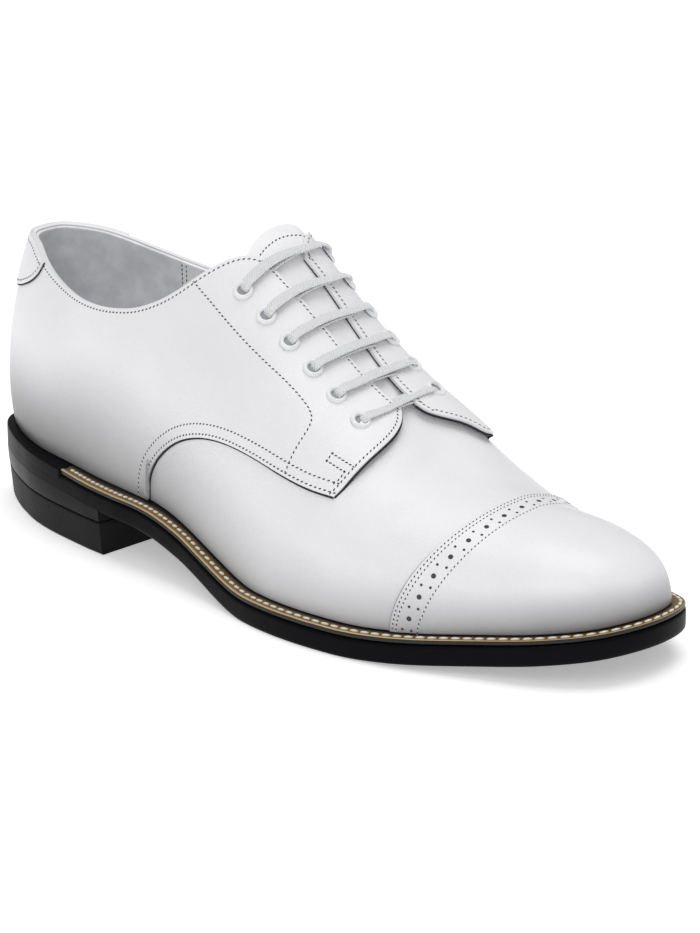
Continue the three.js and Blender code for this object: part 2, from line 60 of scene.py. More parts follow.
# Insole
# A flat board of leather, covered with a thin sock. It is the last's own underside, and the upper
# is drawn over it, so the last's sections are written down here. Along and across are shares of
# the sole's length and the ball's width: the outer edge, the inner edge, and the ridge.
sole_length, ball_width, instep_height, heel_back = 291.0, 102.0, 100.0, -42.0
last_rows = np.array([
    [0, 0, 0, 0, 0.103, 0.01, 0.96, 0.37, 0.53, 0.6, 0.069, 0.064],
    [0.013, -0.148, 0.013, 0.147, 0.11, 0.01, 0.96, 0.39, 0.52, 0.61, 0.069, 0.064],
    [0.065, -0.255, 0.062, 0.265, 0.144, 0.015, 0.96, 0.45, 0.5, 0.63, 0.069, 0.069],
    [0.144, -0.342, 0.144, 0.319, 0.213, 0.025, 0.965, 0.51, 0.46, 0.65, 0.064, 0.074],
    [0.247, -0.378, 0.247, 0.299, 0.289, 0.072, 1.08, 0.68, 0.39, 0.64, 0.057, 0.082],
    [0.361, -0.397, 0.344, 0.289, 0.371, 0.113, 1.032, 0.8, 0.32, 0.61, 0.05, 0.091],
    [0.478, -0.451, 0.447, 0.294, 0.454, 0.138, 0.917, 0.85, 0.33, 0.52, 0.045, 0.087],
    [0.591, -0.51, 0.567, 0.353, 0.54, 0.125, 0.767, 0.87, 0.35, 0.41, 0.039, 0.069],
    [0.687, -0.503, 0.67, 0.441, 0.625, 0.102, 0.595, 0.83, 0.41, 0.33, 0.036, 0.041],
    [0.772, -0.447, 0.763, 0.485, 0.704, 0.088, 0.455, 0.78, 0.48, 0.26, 0.036, 0.017],
    [0.857, -0.337, 0.856, 0.454, 0.784, 0.082, 0.362, 0.72, 0.53, 0.19, 0.038, 0.004],
    [0.93, -0.237, 0.925, 0.38, 0.852, 0.082, 0.309, 0.81, 0.56, 0.39, 0.041, 0.008],
    [0.98, -0.108, 0.983, 0.273, 0.891, 0.084, 0.275, 0.81, 0.56, 0.54, 0.038, -0.008],
    [1, 0.086, 1, 0.086, 0.915, 0.087, 0.251, 0.69, 0.51, 0.51, 0.02, 0.02],
])
last_row = 13
outer_side = last_rows[:, [0, 1, 4, 5, 6, 7, 8, 10]]
inner_side = last_rows[:, [2, 3, 4, 5, 6, 7, 9, 11]]
round_last = np.vstack([outer_side, inner_side[-2:0:-1]])
welt_top, seam_gap, welt_show = 9.1, 0.3, 4.6


def underside(x):
    """Height of the outsole's underside: heel, waist, ball and toe spring."""
    along = (x - heel_back) / sole_length
    waist = np.clip((along - 0.247) / 0.317, 0, 1) ** 1.4
    spring = np.maximum(0, (along - 0.704) / 0.296) ** 1.55
    return 17.5 * (1 - waist * waist * (3 - 2 * waist)) + 10.6 * spring


def layer(x, height):
    """A level of the sole: its layers are thinner and lie lower in the waist than under the ball."""
    whole = 2.2 * np.exp(-((x - 44) / 24) ** 2)
    under = 1.4 * np.exp(-((x - 42) / 20) ** 2) - 0.5 * np.exp(-((x - 92) / 10) ** 2)
    share = np.minimum(height, welt_top) / welt_top
    return underside(x) + height - under - (whole - under) * share


def waist_flare(v):
    """How far the sole stands out past the last's table on the outer side of the waist."""
    return np.interp(v, [2.6, 3.1, 3.6, 4.1, 4.6, 5.1, 5.6], [0, 0.7, 1.6, 2.3, 2.6, 1.2, 0])


def last_row_at(v):
    """The last's table at v: from the heel, 0, by the outer side to the toe, 13, and back to 26."""
    count = len(round_last)
    k = np.floor(v).astype(int)
    f = (v - k)[:, None]
    a, b, c, d = (round_last[(k + step) % count] for step in (-1, 0, 1, 2))
    return b + 0.5 * f * (c - a + f * (2 * a - 5 * b + 4 * c - d + f * (3 * (b - c) + d - a)))


def sole_edge(v, inset):
    """The outsole's edge in plan, moved inwards."""
    def place(w):
        row = last_row_at(w)
        return np.stack([heel_back + sole_length * row[:, 0], ball_width * row[:, 1]], 1)

    tangent = place(v + 0.01) - place(v - 0.01)
    tangent /= np.linalg.norm(tangent, axis=1)[:, None]
    inwards = np.stack([-tangent[:, 1], tangent[:, 0]], 1)
    return place(v) + inwards * np.reshape(inset, (-1, 1))


def last_ridge(v):
    """The line over the instep."""
    row = last_row_at(v)
    x = heel_back + sole_length * row[:, 2]
    height = underside(x) + welt_top + seam_gap + instep_height * row[:, 4]
    return np.stack([x, ball_width * row[:, 3], height], 1)


def skin(u, t):
    """The last's skin, in millimetres. u runs from heel to toe, t from the outer feather edge, 0,
    over the ridge, 1, to the inner one, 2."""
    u, t = (np.array(side, float) for side in np.broadcast_arrays(u, t))
    past = (u < 0) | (u > last_row)
    u = np.where(u < 0, -u, np.where(u > last_row, 2 * last_row - u, u))
    t = np.where(past, 2 - t, t)
    v = np.where(t <= 1, u, -u)
    s = np.where(t <= 1, t, 2 - t)[:, None]
    row = last_row_at(v)
    foot = sole_edge(v, welt_show)
    start = np.column_stack([foot, layer(foot[:, 0], welt_top + seam_gap)])
    ridge = last_ridge(u)
    behind, before = last_ridge(np.maximum(u - 0.5, 0)), last_ridge(np.minimum(u + 0.5, last_row))
    slope = (before[:, 2] - behind[:, 2]) / (before[:, 0] - behind[:, 0])
    across = ridge[:, :2] - start[:, :2]
    wall = start.copy()
    lean = ball_width * row[:, 7] / np.linalg.norm(across, axis=1)
    wall[:, :2] -= across * lean[:, None]
    wall[:, 2] += (ridge[:, 2] - start[:, 2]) * row[:, 5]
    top = ridge.copy()
    top[:, :2] -= across * row[:, 6][:, None]
    top[:, 2] -= row[:, 6] * across[:, 0] * slope
    return (1 - s) ** 3 * start + 3 * (1 - s) ** 2 * s * wall + 3 * (1 - s) * s * s * top + s ** 3 * ridge


def skin_out(u, t):
    """The skin's outward direction."""
    u, t = np.broadcast_arrays(np.array(u, float), np.array(t, float))
    along = skin(u + 0.02, t) - skin(u - 0.02, t)
    over = skin(u, np.minimum(t + 0.02, 2)) - skin(u, np.maximum(t - 0.02, 0))
    out = np.cross(along, over)
    return out / np.maximum(np.linalg.norm(out, axis=1), 1e-9)[:, None]


def on_last(u, t, lift=0.0):
    """A place over the last's skin, in metres."""
    return (skin(u, t) + skin_out(u, t) * np.reshape(lift, (-1, 1))) / 1000


def make_piece(name, bm, *finishes, smooth=True):
    """A finished mesh as an object that belongs to the shoe."""
    mesh = bpy.data.meshes.new(name)
    bm.to_mesh(mesh)
    bm.free()
    for finish in finishes:
        mesh.materials.append(finish)
    mesh.polygons.foreach_set("use_smooth", [smooth] * len(mesh.polygons))
    piece = bpy.data.objects.new(name, mesh)
    bpy.context.collection.objects.link(piece)
    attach(piece, "root")
    return piece


def sole_loft(rows, steps=364, heel_trim=2.8):
    """A slab of the sole. A row is the inset from the edge, the height over the underside or, if
    level, over the floor, and how far the row lies towards the middle line. The slabs seen from
    outside are trimmed round the heel and flare at the waist."""
    bm = bmesh.new()
    bmesh.ops.create_grid(bm, x_segments=steps, y_segments=len(rows) - 1, size=0.5)
    grid = np.array([vertex.co[:2] for vertex in bm.verts]) + 0.5
    v = grid[:, 0] * 26
    row = np.rint(grid[:, 1] * (len(rows) - 1)).astype(int)
    inset, height, level, fill = (np.array(rows, float)[row, k] for k in range(4))
    round_heel = np.clip(1 - np.minimum(v, 26 - v) / 3.4, 0, 1)
    if heel_trim:
        inset = inset + heel_trim * round_heel * round_heel * (3 - 2 * round_heel) - waist_flare(v)
    edge = sole_edge(v, inset)
    u = np.clip(np.where(v <= 13, v, 26 - v), 1.9, 11.4)
    spine = 0.5 * (sole_edge(u, inset) + sole_edge(26 - u, inset))
    plan = edge + (spine - edge) * fill[:, None]
    z = np.where(level > 0, height, layer(plan[:, 0], height))
    for vertex, place in zip(bm.verts, np.column_stack([plan, z]) / 1000):
        vertex.co = place
    bmesh.ops.remove_doubles(bm, verts=bm.verts, dist=2e-6)
    bmesh.ops.dissolve_degenerate(bm, edges=bm.edges, dist=1e-7)
    bmesh.ops.recalc_face_normals(bm, faces=bm.faces)
    return bm


def shader(name, colour, roughness, specular=0.5):
    """A new material, with its tree and its main shader."""
    finish = bpy.data.materials.new(name)
    finish.use_nodes = True
    tree = finish.node_tree
    main = tree.nodes["Principled BSDF"]
    main.inputs["Base Color"].default_value = (*colour, 1)
    main.inputs["Roughness"].default_value = roughness
    main.inputs["Specular IOR Level"].default_value = specular
    return finish, tree, main


def node(tree, kind, **values):
    """A node with its settings, and its sockets filled or linked."""
    made = tree.nodes.new(kind)
    for key, value in values.items():
        if hasattr(made, key) and key not in made.inputs:
            setattr(made, key, value)
            continue
        socket = made.inputs[key]
        if isinstance(value, bpy.types.NodeSocket):
            tree.links.new(value, socket)
        else:
            socket.default_value = value
    return made


def grain(tree, main, cell, strength, depth, fine=0.5):
    """Leather's grain: small rounded cells with fine wrinkles, as a bump."""
    place = node(tree, "ShaderNodeTexCoord").outputs["Object"]
    bend = node(tree, "ShaderNodeTexNoise", Vector=place, Scale=cell * 0.12, Detail=3.0)
    moved = node(tree, "ShaderNodeMix", data_type="VECTOR")
    tree.links.new(place, moved.inputs[4])
    tree.links.new(bend.outputs["Color"], moved.inputs[5])
    moved.inputs[0].default_value = 0.0015
    cells = node(tree, "ShaderNodeTexVoronoi", Vector=moved.outputs[1], Scale=cell)
    wrinkles = node(tree, "ShaderNodeTexNoise", Vector=place, Scale=cell * 1.9, Detail=4.0, Roughness=0.6)
    mix = node(tree, "ShaderNodeMath", operation="MULTIPLY_ADD")
    tree.links.new(wrinkles.outputs["Fac"], mix.inputs[0])
    mix.inputs[1].default_value = fine
    tree.links.new(cells.outputs["Distance"], mix.inputs[2])
    bump = node(tree, "ShaderNodeBump", Strength=strength, Distance=depth, Height=mix.outputs[0])
    tree.links.new(bump.outputs["Normal"], main.inputs["Normal"])
    return place


def mottle(tree, main, place, pale, dark, scale, low=0.35, high=0.65):
    """Soft changes of colour."""
    noise = node(tree, "ShaderNodeTexNoise", Vector=place, Scale=scale, Detail=5.0, Roughness=0.55)
    ramp = node(tree, "ShaderNodeValToRGB", Fac=noise.outputs["Fac"])
    ramp.color_ramp.elements[0].position, ramp.color_ramp.elements[1].position = low, high
    ramp.color_ramp.elements[0].color, ramp.color_ramp.elements[1].color = (*dark, 1), (*pale, 1)
    tree.links.new(ramp.outputs["Color"], main.inputs["Base Color"])
    return ramp


sock_lining, sock_tree, sock_main = shader("sock_lining", (0.78, 0.79, 0.81), 0.62)
sock_place = grain(sock_tree, sock_main, 1300, 0.25, 0.0003)
mottle(sock_tree, sock_main, sock_place, (0.80, 0.81, 0.83), (0.72, 0.73, 0.76), 45)
insole_rows = [(6.6, 9.4, 0, 1), (6.6, 9.4, 0, 0.5), (6.6, 9.4, 0, 0), (6.4, 9.6, 0, 0)]
insole_rows += [(6.4, 11.7, 0, 0), (6.6, 12.0, 0, 0)] + [(6.8, 12.0, 0, k / 5) for k in range(1, 6)]
insole = make_piece("insole_board", sole_loft(insole_rows, heel_trim=0), sock_lining)
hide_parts("insole")


# Lining
# Thin leather stands inside the quarters from the heel to the facings, suede round the heel and
# smooth ahead of it. It is stitched to the quarters along the topline, where both edges show.
def onto_skin(points, way):
    """The places (u, t) of the skin under points, from a first guess."""
    for _ in range(12):
        u, t = way[:, 0], way[:, 1]
        along = (skin(u + 0.01, t) - skin(u - 0.01, t)) / 0.02
        over = (skin(u, t + 0.004) - skin(u, t - 0.004)) / 0.008
        gap = points - skin(u, t)
        aa, ao, oo = (along * along).sum(1), (along * over).sum(1), (over * over).sum(1)
        ga, go = (gap * along).sum(1), (gap * over).sum(1)
        det = np.maximum(aa * oo - ao * ao, 1e-9)
        step = np.stack([(ga * oo - go * ao) / det, (go * aa - ga * ao) / det], 1)
        way = way + 0.8 * np.clip(step, -0.1, 0.1)
    return way


def smooth_way(places, soft=3.0, count=500):
    """A smooth way over the skin through places (u, t), as evenly walked (u, t)."""
    places = np.array(places, float)
    points = skin(places[:, 0], places[:, 1])
    chord = np.linalg.norm(np.diff(points, axis=0), axis=1)
    knots = np.concatenate([[0], np.cumsum(np.maximum(chord, 1e-6))])
    both = np.hstack([places, points])
    slope = np.gradient(both, knots, axis=0)
    walk = np.linspace(0, knots[-1], count)
    k = np.clip(np.searchsorted(knots, walk, side="right") - 1, 0, len(knots) - 2)
    span = (knots[k + 1] - knots[k])[:, None]
    f = (walk - knots[k])[:, None] / span
    way = (2 * f**3 - 3 * f**2 + 1) * both[k] + (f**3 - 2 * f**2 + f) * span * slope[k]
    way = way + (3 * f**2 - 2 * f**3) * both[k + 1] + (f**3 - f**2) * span * slope[k + 1]
    if soft == 0:
        return even_way(way[:, :2])
    reach = min(int(3 * soft / (knots[-1] / count)), count // 2 - 1)
    weight = np.exp(-0.5 * (np.arange(-reach, reach + 1) * knots[-1] / count / soft) ** 2)
    weight /= weight.sum()
    for k in range(5):
        before = 2 * way[0, k] - way[reach:0:-1, k]
        after = 2 * way[-1, k] - way[-2:-reach - 2:-1, k]
        way[:, k] = np.convolve(np.concatenate([before, way[:, k], after]), weight, "valid")
    return even_way(onto_skin(way[:, 2:], way[:, :2]))


def even_way(way):
    """A way with even steps over the skin."""
    step = np.linalg.norm(np.diff(skin(way[:, 0], way[:, 1]), axis=0), axis=1)
    length = np.concatenate([[0], np.cumsum(step)])
    walk = np.linspace(0, length[-1], len(way))
    return np.stack([np.interp(walk, length, way[:, 0]), np.interp(walk, length, way[:, 1])], 1)


def joined(*ways):
    """Ways one after the other, with a corner between them."""
    return even_way(np.vstack([ways[0]] + [way[1:] for way in ways[1:]]))


def way_at(way, share):
    walk = np.linspace(0, 1, len(way))
    return np.stack([np.interp(share, walk, way[:, k]) for k in range(2)], 1)


def beside(way, distance):
    """A way moved over the skin to its left hand, seen from outside, in millimetres."""
    du, dt = 0.01, 0.004
    u, t = way[:, 0], way[:, 1]
    ahead = skin(*way_at(way, np.linspace(0, 1, len(way)) + 0.004).T)
    back = skin(*way_at(way, np.linspace(0, 1, len(way)) - 0.004).T)
    run = ahead - back
    run /= np.maximum(np.linalg.norm(run, axis=1), 1e-9)[:, None]
    left = np.cross(skin_out(u, t), run) * distance
    along = (skin(u + du, t) - skin(u - du, t)) / (2 * du)
    over = (skin(u, t + dt) - skin(u, t - dt)) / (2 * dt)
    aa, ao, oo = (along * along).sum(1), (along * over).sum(1), (over * over).sum(1)
    la, lo = (left * along).sum(1), (left * over).sum(1)
    det = np.maximum(aa * oo - ao * ao, 1e-9)
    moved = way + np.stack([(la * oo - lo * ao) / det, (lo * aa - la * ao) / det], 1)
    return even_way(moved)


def patch(low, high, back, front):
    """Places (u, t) between four ways: low and high run forwards, back and front upwards."""
    def place(a, b):
        a1, b1 = a[:, None], b[:, None]
        sides = (1 - b1) * way_at(low, a) + b1 * way_at(high, a)
        ends = (1 - a1) * way_at(back, b) + a1 * way_at(front, b)
        corners = (1 - a1) * ((1 - b1) * low[0] + b1 * high[0]) + a1 * ((1 - b1) * low[-1] + b1 * high[-1])
        return sides + ends - corners
    return place


def painted_shade_near_welt(u, t):
    """Painted shade: how far the leather's colour darkens down towards the welt."""
    u, side = np.abs(u), np.clip(np.minimum(t, 2 - t), 0, 1)
    depth = np.interp(u, [0, 2.5, 4.5, 7, 9, 11, 13], [0.92, 0.88, 0.56, 0.3, 0.42, 0.64, 0.66])
    reach = np.interp(u, [0, 3, 5, 8, 10, 13], [0.3, 0.27, 0.21, 0.18, 0.27, 0.42])
    near = np.clip(1 - side / reach, 0, 1)
    return 1 - depth * near * near * (3 - 2 * near)


def lasted(place, lift, cells, turn=False, fold=False):
    """A sheet of leather drawn over the last: place gives (u, t), lift its height over the skin."""
    bm = bmesh.new()
    bmesh.ops.create_grid(bm, x_segments=cells[0], y_segments=cells[1], size=0.5)
    grid = np.array([vertex.co[:2] for vertex in bm.verts]) + 0.5
    uv = place(grid[:, 0], grid[:, 1])
    points = on_last(uv[:, 0], uv[:, 1], lift(uv[:, 0], uv[:, 1]))
    # Each vertex keeps its painted shade, darker towards the welt, and its place along the shoe.
    shade, along = bm.verts.layers.float.new("shade"), bm.verts.layers.float.new("along")
    for vertex, point, grey, u in zip(bm.verts, points, painted_shade_near_welt(uv[:, 0], uv[:, 1]), uv[:, 0]):
        vertex.co = point
        vertex[shade], vertex[along] = grey, abs(u)
    if turn:
        bmesh.ops.reverse_faces(bm, faces=bm.faces)
    if fold:
        bmesh.ops.remove_doubles(bm, verts=bm.verts, dist=5e-6)
    return bm


def leather_wall(piece, wall, rim):
    """Thickness under a sheet, and its rounded cut edges."""
    thick = piece.modifiers.new("thickness", "SOLIDIFY")
    thick.thickness, thick.offset = wall / 1000, -1
    edge = piece.modifiers.new("cut edge", "BEVEL")
    edge.width, edge.segments = rim / 1000, 3
    edge.limit_method, edge.angle_limit = "ANGLE", math.radians(55)
    return piece


outer_collar = smooth_way([
    (0, 0.57), (1.1, 0.558), (1.742, 0.543), (2.224, 0.505), (2.611, 0.479), (2.988, 0.45),
    (3.38, 0.397), (3.729, 0.346), (4.029, 0.322), (4.294, 0.319), (4.525, 0.327), (4.729, 0.348),
    (4.906, 0.377), (5.057, 0.414), (5.187, 0.457), (5.3, 0.506), (5.406, 0.559), (5.514, 0.617),
    (5.642, 0.675), (5.803, 0.717),
], soft=2.6)
inner_collar = smooth_way([
    (0, 1.43), (0.5, 1.435), (1.28, 1.45), (1.84, 1.47), (2.32, 1.49), (2.74, 1.505), (3.16, 1.54),
    (3.56, 1.61), (3.87, 1.655), (4.2, 1.68), (4.68, 1.67), (5.0, 1.63), (5.28, 1.57), (5.48, 1.49),
    (5.62, 1.39), (5.73, 1.28), (5.8, 1.16), (5.84, 1.04), (5.9, 0.95), (6.06, 0.9),
], soft=4.0)
lining_front = 5.0
collar_u = np.concatenate([-inner_collar[::-1, 0], outer_collar[1:, 0]])
collar_t = np.concatenate([2 - inner_collar[::-1, 1], outer_collar[1:, 1]])


def lining_place(a, b):
    u = (2 * a - 1) * lining_front
    top = np.interp(u, collar_u, collar_t) - 0.003
    return np.stack([u, top * b], 1)


suede_lining, suede_tree, suede_main = shader("suede_lining", (0.8, 0.81, 0.83), 0.95, 0.2)
suede_place = grain(suede_tree, suede_main, 2600, 0.5, 0.0003, 1.4)
mottle(suede_tree, suede_main, suede_place, (0.95, 0.95, 0.965), (0.78, 0.785, 0.815), 120)
suede_main.inputs["Sheen Weight"].default_value = 0.3
# The facing lining's own white, set brighter than the upper's white leather: painted light that lifts the shade
# inside the shoe.
white_lining_painted_light, facing_tree, facing_main = shader("white_lining_painted_light", (0.84, 0.85, 0.87), 0.5)
facing_place = grain(facing_tree, facing_main, 1200, 0.25, 0.0003)
mottle(facing_tree, facing_main, facing_place, (0.98, 0.98, 0.99), (0.95, 0.95, 0.965), 60)
lining_bm = lasted(lining_place, lambda u, t: -1.55, (300, 44))
lining = make_piece("quarter_lining", lining_bm, suede_lining, white_lining_painted_light)
suede_end = 3.56
lining_along = lining.data.attributes["along"].data
for face in lining.data.polygons:
    face.material_index = 1 if lining_along[face.vertices[0]].value > suede_end else 0
leather_wall(lining, 1.25, 0.3)


# Vamp
# One piece of smooth white leather over the forefoot, from under the quarters to under the toe
# cap. It is drawn tight on the last, so only a few soft rolls show over the ball.
def soft_bump(u, t, centre, reach, turn, height):
    """A soft roll or hollow of the leather, as a long round hill on the skin."""
    du, dt = (u - centre[0]) * 21, (t - centre[1]) * 75
    c, s = math.cos(math.radians(turn)), math.sin(math.radians(turn))
    p, q = (c * du + s * dt) / reach[0], (c * dt - s * du) / reach[1]
    return height * np.exp(-0.5 * (p * p + q * q))


soft_creases = [
    ((8.9, 0.5), (9, 2.2), 62, -0.35), ((9.25, 0.62), (10, 2.4), 70, 0.3),
    ((8.75, 0.82), (9, 2.0), 85, -0.25), ((9.3, 1.2), (10, 2.6), 100, 0.25),
    ((8.9, 1.4), (9, 2.4), 110, -0.3), ((3.1, 0.3), (12, 4), 15, 0.3),
    ((5.2, 0.25), (12, 3.5), -20, -0.3), ((6.6, 0.36), (12, 3.0), 10, 0.25),
]


def drape(u, t):
    """How the drawn leather rises and sinks, in millimetres."""
    t = np.where(u < 0, 2 - t, t)
    u = np.abs(u)
    lift = 0.10 * np.sin(1.9 * u + 4.1 * t) * np.sin(5.3 * t - 0.7 * u)
    for crease in soft_creases:
        lift = lift + soft_bump(u, t, *crease)
    return lift


def vamp_place(a, b):
    t = 2 * b
    rear = np.interp(
        t, [0, 0.3, 0.55, 0.75, 1.0, 1.25, 1.45, 1.75, 2], [4.7, 5.4, 6.9, 7.65, 7.75, 7.7, 7.2, 5.5, 4.8]
    )
    front = np.interp(t, [0, 0.3, 0.6, 1.0, 1.4, 1.7, 2], [9.3, 9.6, 10.0, 10.6, 10.1, 9.7, 9.4])
    return np.stack([rear + (front - rear) * a, t], 1)


white_leather, white_tree, white_main = shader("white_leather", (0.84, 0.845, 0.86), 0.4)
white_place = grain(white_tree, white_main, 1500, 0.26, 0.00028)
white_ramp = mottle(white_tree, white_main, white_place, (0.872, 0.87, 0.893), (0.834, 0.832, 0.856), 30)
# Painted shade: the leather's colour is multiplied by the 'shade' attribute, so it darkens down towards the welt.
painted_shade_input = node(white_tree, "ShaderNodeAttribute", attribute_name="shade")
painted_shade_mix = node(white_tree, "ShaderNodeMix", data_type="RGBA", blend_type="MULTIPLY")
painted_shade_mix.inputs[0].default_value = 1.0
white_tree.links.new(white_ramp.outputs["Color"], painted_shade_mix.inputs[6])
white_tree.links.new(painted_shade_input.outputs["Fac"], painted_shade_mix.inputs[7])
white_tree.links.new(painted_shade_mix.outputs[2], white_main.inputs["Base Color"])
white_main.inputs["Coat Weight"].default_value = 0.12
white_main.inputs["Coat Roughness"].default_value = 0.28
vamp = make_piece(
    "vamp", lasted(vamp_place, lambda u, t: -1.05 + drape(u, t), (120, 170)), white_leather
)
leather_wall(vamp, 1.5, 0.3)


# Tongue
# A flap of white leather under the lacing, lined and soft, sewn in at the throat. Its upper edge is
# turned over and stitched round.
slit_offset = 2.4


def last_place(x, y):
    """The skin's (u, t) over a place of the plan near the instep, in millimetres."""
    x, y = np.array(x, float), np.array(y, float)
    u = np.full(x.shape, 6.8)
    t = np.where(y < slit_offset, 0.7, 1.2)
    for _ in range(40):
        here = skin(u, t)
        along, over = (skin(u + 0.01, t) - here) / 0.01, (skin(u, t + 0.01) - here) / 0.01
        det = along[:, 0] * over[:, 1] - along[:, 1] * over[:, 0]
        dx, dy = x - here[:, 0], y - here[:, 1]
        u = u + 0.6 * (dx * over[:, 1] - dy * over[:, 0]) / det
        t = t + 0.6 * (along[:, 0] * dy - along[:, 1] * dx) / det
    return np.stack([u, t], 1)


def tongue_place(a, b):
    half = 23.2
    w = 2 * b - 1
    top = 80.2 + 7 * np.abs(w) ** 2 + 9 * np.abs(w) ** 8
    x = top + (141.0 - top) * a
    return last_place(x, slit_offset + half * w)


# Painted light: the tongue's leather is lighter than the upper's white leather, to lift the laces' shade over it.
tongue_leather, tongue_tree, tongue_main = shader("tongue_leather", (0.83, 0.84, 0.86), 0.45)
tongue_at = grain(tongue_tree, tongue_main, 1500, 0.2, 0.00025)
mottle(tongue_tree, tongue_main, tongue_at, (0.93, 0.93, 0.945), (0.89, 0.89, 0.91), 50)
tongue_bm = lasted(tongue_place, lambda u, t: -0.8, (90, 66))
tongue = leather_wall(make_piece("tongue_flap", tongue_bm, tongue_leather), 2.6, 1.1)
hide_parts("tongue")
thread_white = shader("white_thread", (0.86, 0.86, 0.87), 0.6)[0]
# The needle holes are dark discs on the leather: painted shade for the depth of each hole.
painted_stitch_hole_shade = shader("painted_stitch_hole_shade", (0.05, 0.052, 0.062), 0.9, 0.1)[0]


def seed_mesh(bm):
    """A small mesh that is set many times, with its places."""
    mesh = bpy.data.meshes.new("seed")
    bm.to_mesh(mesh)
    bm.free()
    return mesh


def set_many(seeds, bm):
    """Sets (mesh, matrix, material number) one by one into a mesh."""
    for mesh, place, slot in seeds:
        mesh.transform(place)
        before = len(bm.faces)
        bm.from_mesh(mesh)
        mesh.transform(place.inverted())
        if slot:
            bm.faces.ensure_lookup_table()
            for face in bm.faces[before:]:
                face.material_index = slot


bead_bm = bmesh.new()
bmesh.ops.create_icosphere(bead_bm, subdivisions=1, radius=0.5)
bead = seed_mesh(bead_bm)
dot_bm = bmesh.new()
bmesh.ops.create_circle(dot_bm, cap_ends=True, segments=8, radius=0.5)
dot = seed_mesh(dot_bm)


needle_slant = Matrix.Rotation(math.radians(22), 4, "Z")


def stitches(way, lift, pitch=1.75, length=0.9, width=0.42, hole=(1.05, 0.5), sink=0.06):
    """One row of stitches: thread beads between slanting needle holes, dark discs of painted shade, along a way."""
    step = np.linalg.norm(np.diff(skin(way[:, 0], way[:, 1]), axis=0), axis=1).sum()
    count = max(2, int(round(step / pitch)))
    uv = way_at(way, np.linspace(0, 1, 2 * count + 1))
    height = lift(uv[:, 0], uv[:, 1]) if callable(lift) else np.full(len(uv), lift)
    places = on_last(uv[:, 0], uv[:, 1], height)
    outs = skin_out(uv[:, 0], uv[:, 1])
    made = []
    for k in range(2 * count + 1):
        run = Vector(places[min(k + 1, 2 * count)] - places[max(k - 1, 0)]).normalized()
        out = Vector(outs[k])
        side = out.cross(run).normalized()
        turn = Matrix((run, side, out)).transposed().to_4x4()
        if k % 2:
            shape = Matrix.Diagonal((length / 1000, width / 1000, 0.0003, 1))
            place = Matrix.Translation(Vector(places[k]) - out * sink / 1000)
            made.append((bead, place @ turn @ shape, 0))
        else:
            shape = needle_slant @ Matrix.Diagonal((hole[0] / 1000, hole[1] / 1000, 1, 1))
            made.append((dot, Matrix.Translation(Vector(places[k]) + out * 0.00005) @ turn @ shape, 1))
    return made


tongue_row = tongue_place(np.full(300, 0.065), np.linspace(0.07, 0.93, 300))
tongue_bm = bmesh.new()
set_many(stitches(even_way(tongue_row), -0.8), tongue_bm)
tongue_stitching = make_piece("tongue_stitching", tongue_bm, thread_white, painted_stitch_hole_shade)


# Quarters
# Two pieces of the same white leather, joined behind the heel. They lap over the vamp on a double
# row of stitches, and their thick facings carry the eyelets on either side of the slit.
outer_slit = smooth_way([
    (5.803, 0.717), (6.022, 0.731), (6.436, 0.762), (6.858, 0.789), (7.312, 0.809), (7.784, 0.835), (8.038, 0.854),
])
outer_front = smooth_way([
    (7.861, 0.344), (7.91, 0.372), (7.985, 0.429), (8.054, 0.49), (8.114, 0.555), (8.164, 0.624),
    (8.198, 0.697), (8.203, 0.734), (8.192, 0.772), (8.162, 0.807), (8.108, 0.835), (8.038, 0.854),
], soft=1.2)
outer_seam = smooth_way([
    (4.9, 0), (4.915, 0.032), (5.015, 0.063), (5.196, 0.097), (5.435, 0.134), (5.707, 0.169), (5.979, 0.199),
    (6.236, 0.223), (6.489, 0.243), (6.741, 0.259), (6.993, 0.271), (7.242, 0.285), (7.491, 0.302), (7.861, 0.344),
])
inner_slit = smooth_way([
    (6.06, 0.9), (6.29, 0.915), (6.65, 0.93), (7.03, 0.935), (7.43, 0.935), (7.81, 0.938),
    (7.98, 0.945), (8.153, 0.953),
])
inner_front = smooth_way([
    (7.85, 1.67), (7.98, 1.62), (8.14, 1.55), (8.32, 1.48), (8.46, 1.41), (8.5, 1.35), (8.46, 1.3), (8.43, 1.24),
    (8.42, 1.17), (8.41, 1.1), (8.39, 1.03), (8.33, 0.985), (8.24, 0.965), (8.153, 0.953),
], soft=1.0)
inner_seam = smooth_way([
    (5.08, 2), (5.12, 1.97), (5.27, 1.93), (5.56, 1.89), (5.83, 1.85), (6.13, 1.8), (6.46, 1.77),
    (6.86, 1.73), (7.53, 1.7), (7.85, 1.67),
])


def facing_rise(u, t):
    """Height of the facings, which ride over the tongue, over the rest of the quarters."""
    up = np.clip((np.minimum(t, 2 - t) - 0.36) / 0.14, 0, 1)
    on = np.clip((np.abs(u) - 4.6) / 0.8, 0, 1)
    front = np.clip((np.abs(u) - 7.35) / 0.85, 0, 1)
    inward = np.clip((np.minimum(t, 2 - t) - 0.38) / 0.2, 0, 1)
    rise = 0.8 * up * up * (3 - 2 * up) * on * on * (3 - 2 * on)
    return rise + 1.5 * front * front * (3 - 2 * front) * inward * inward * (3 - 2 * inward)


def quarter_lift(u, t):
    return facing_rise(u, t) + drape(u, t)


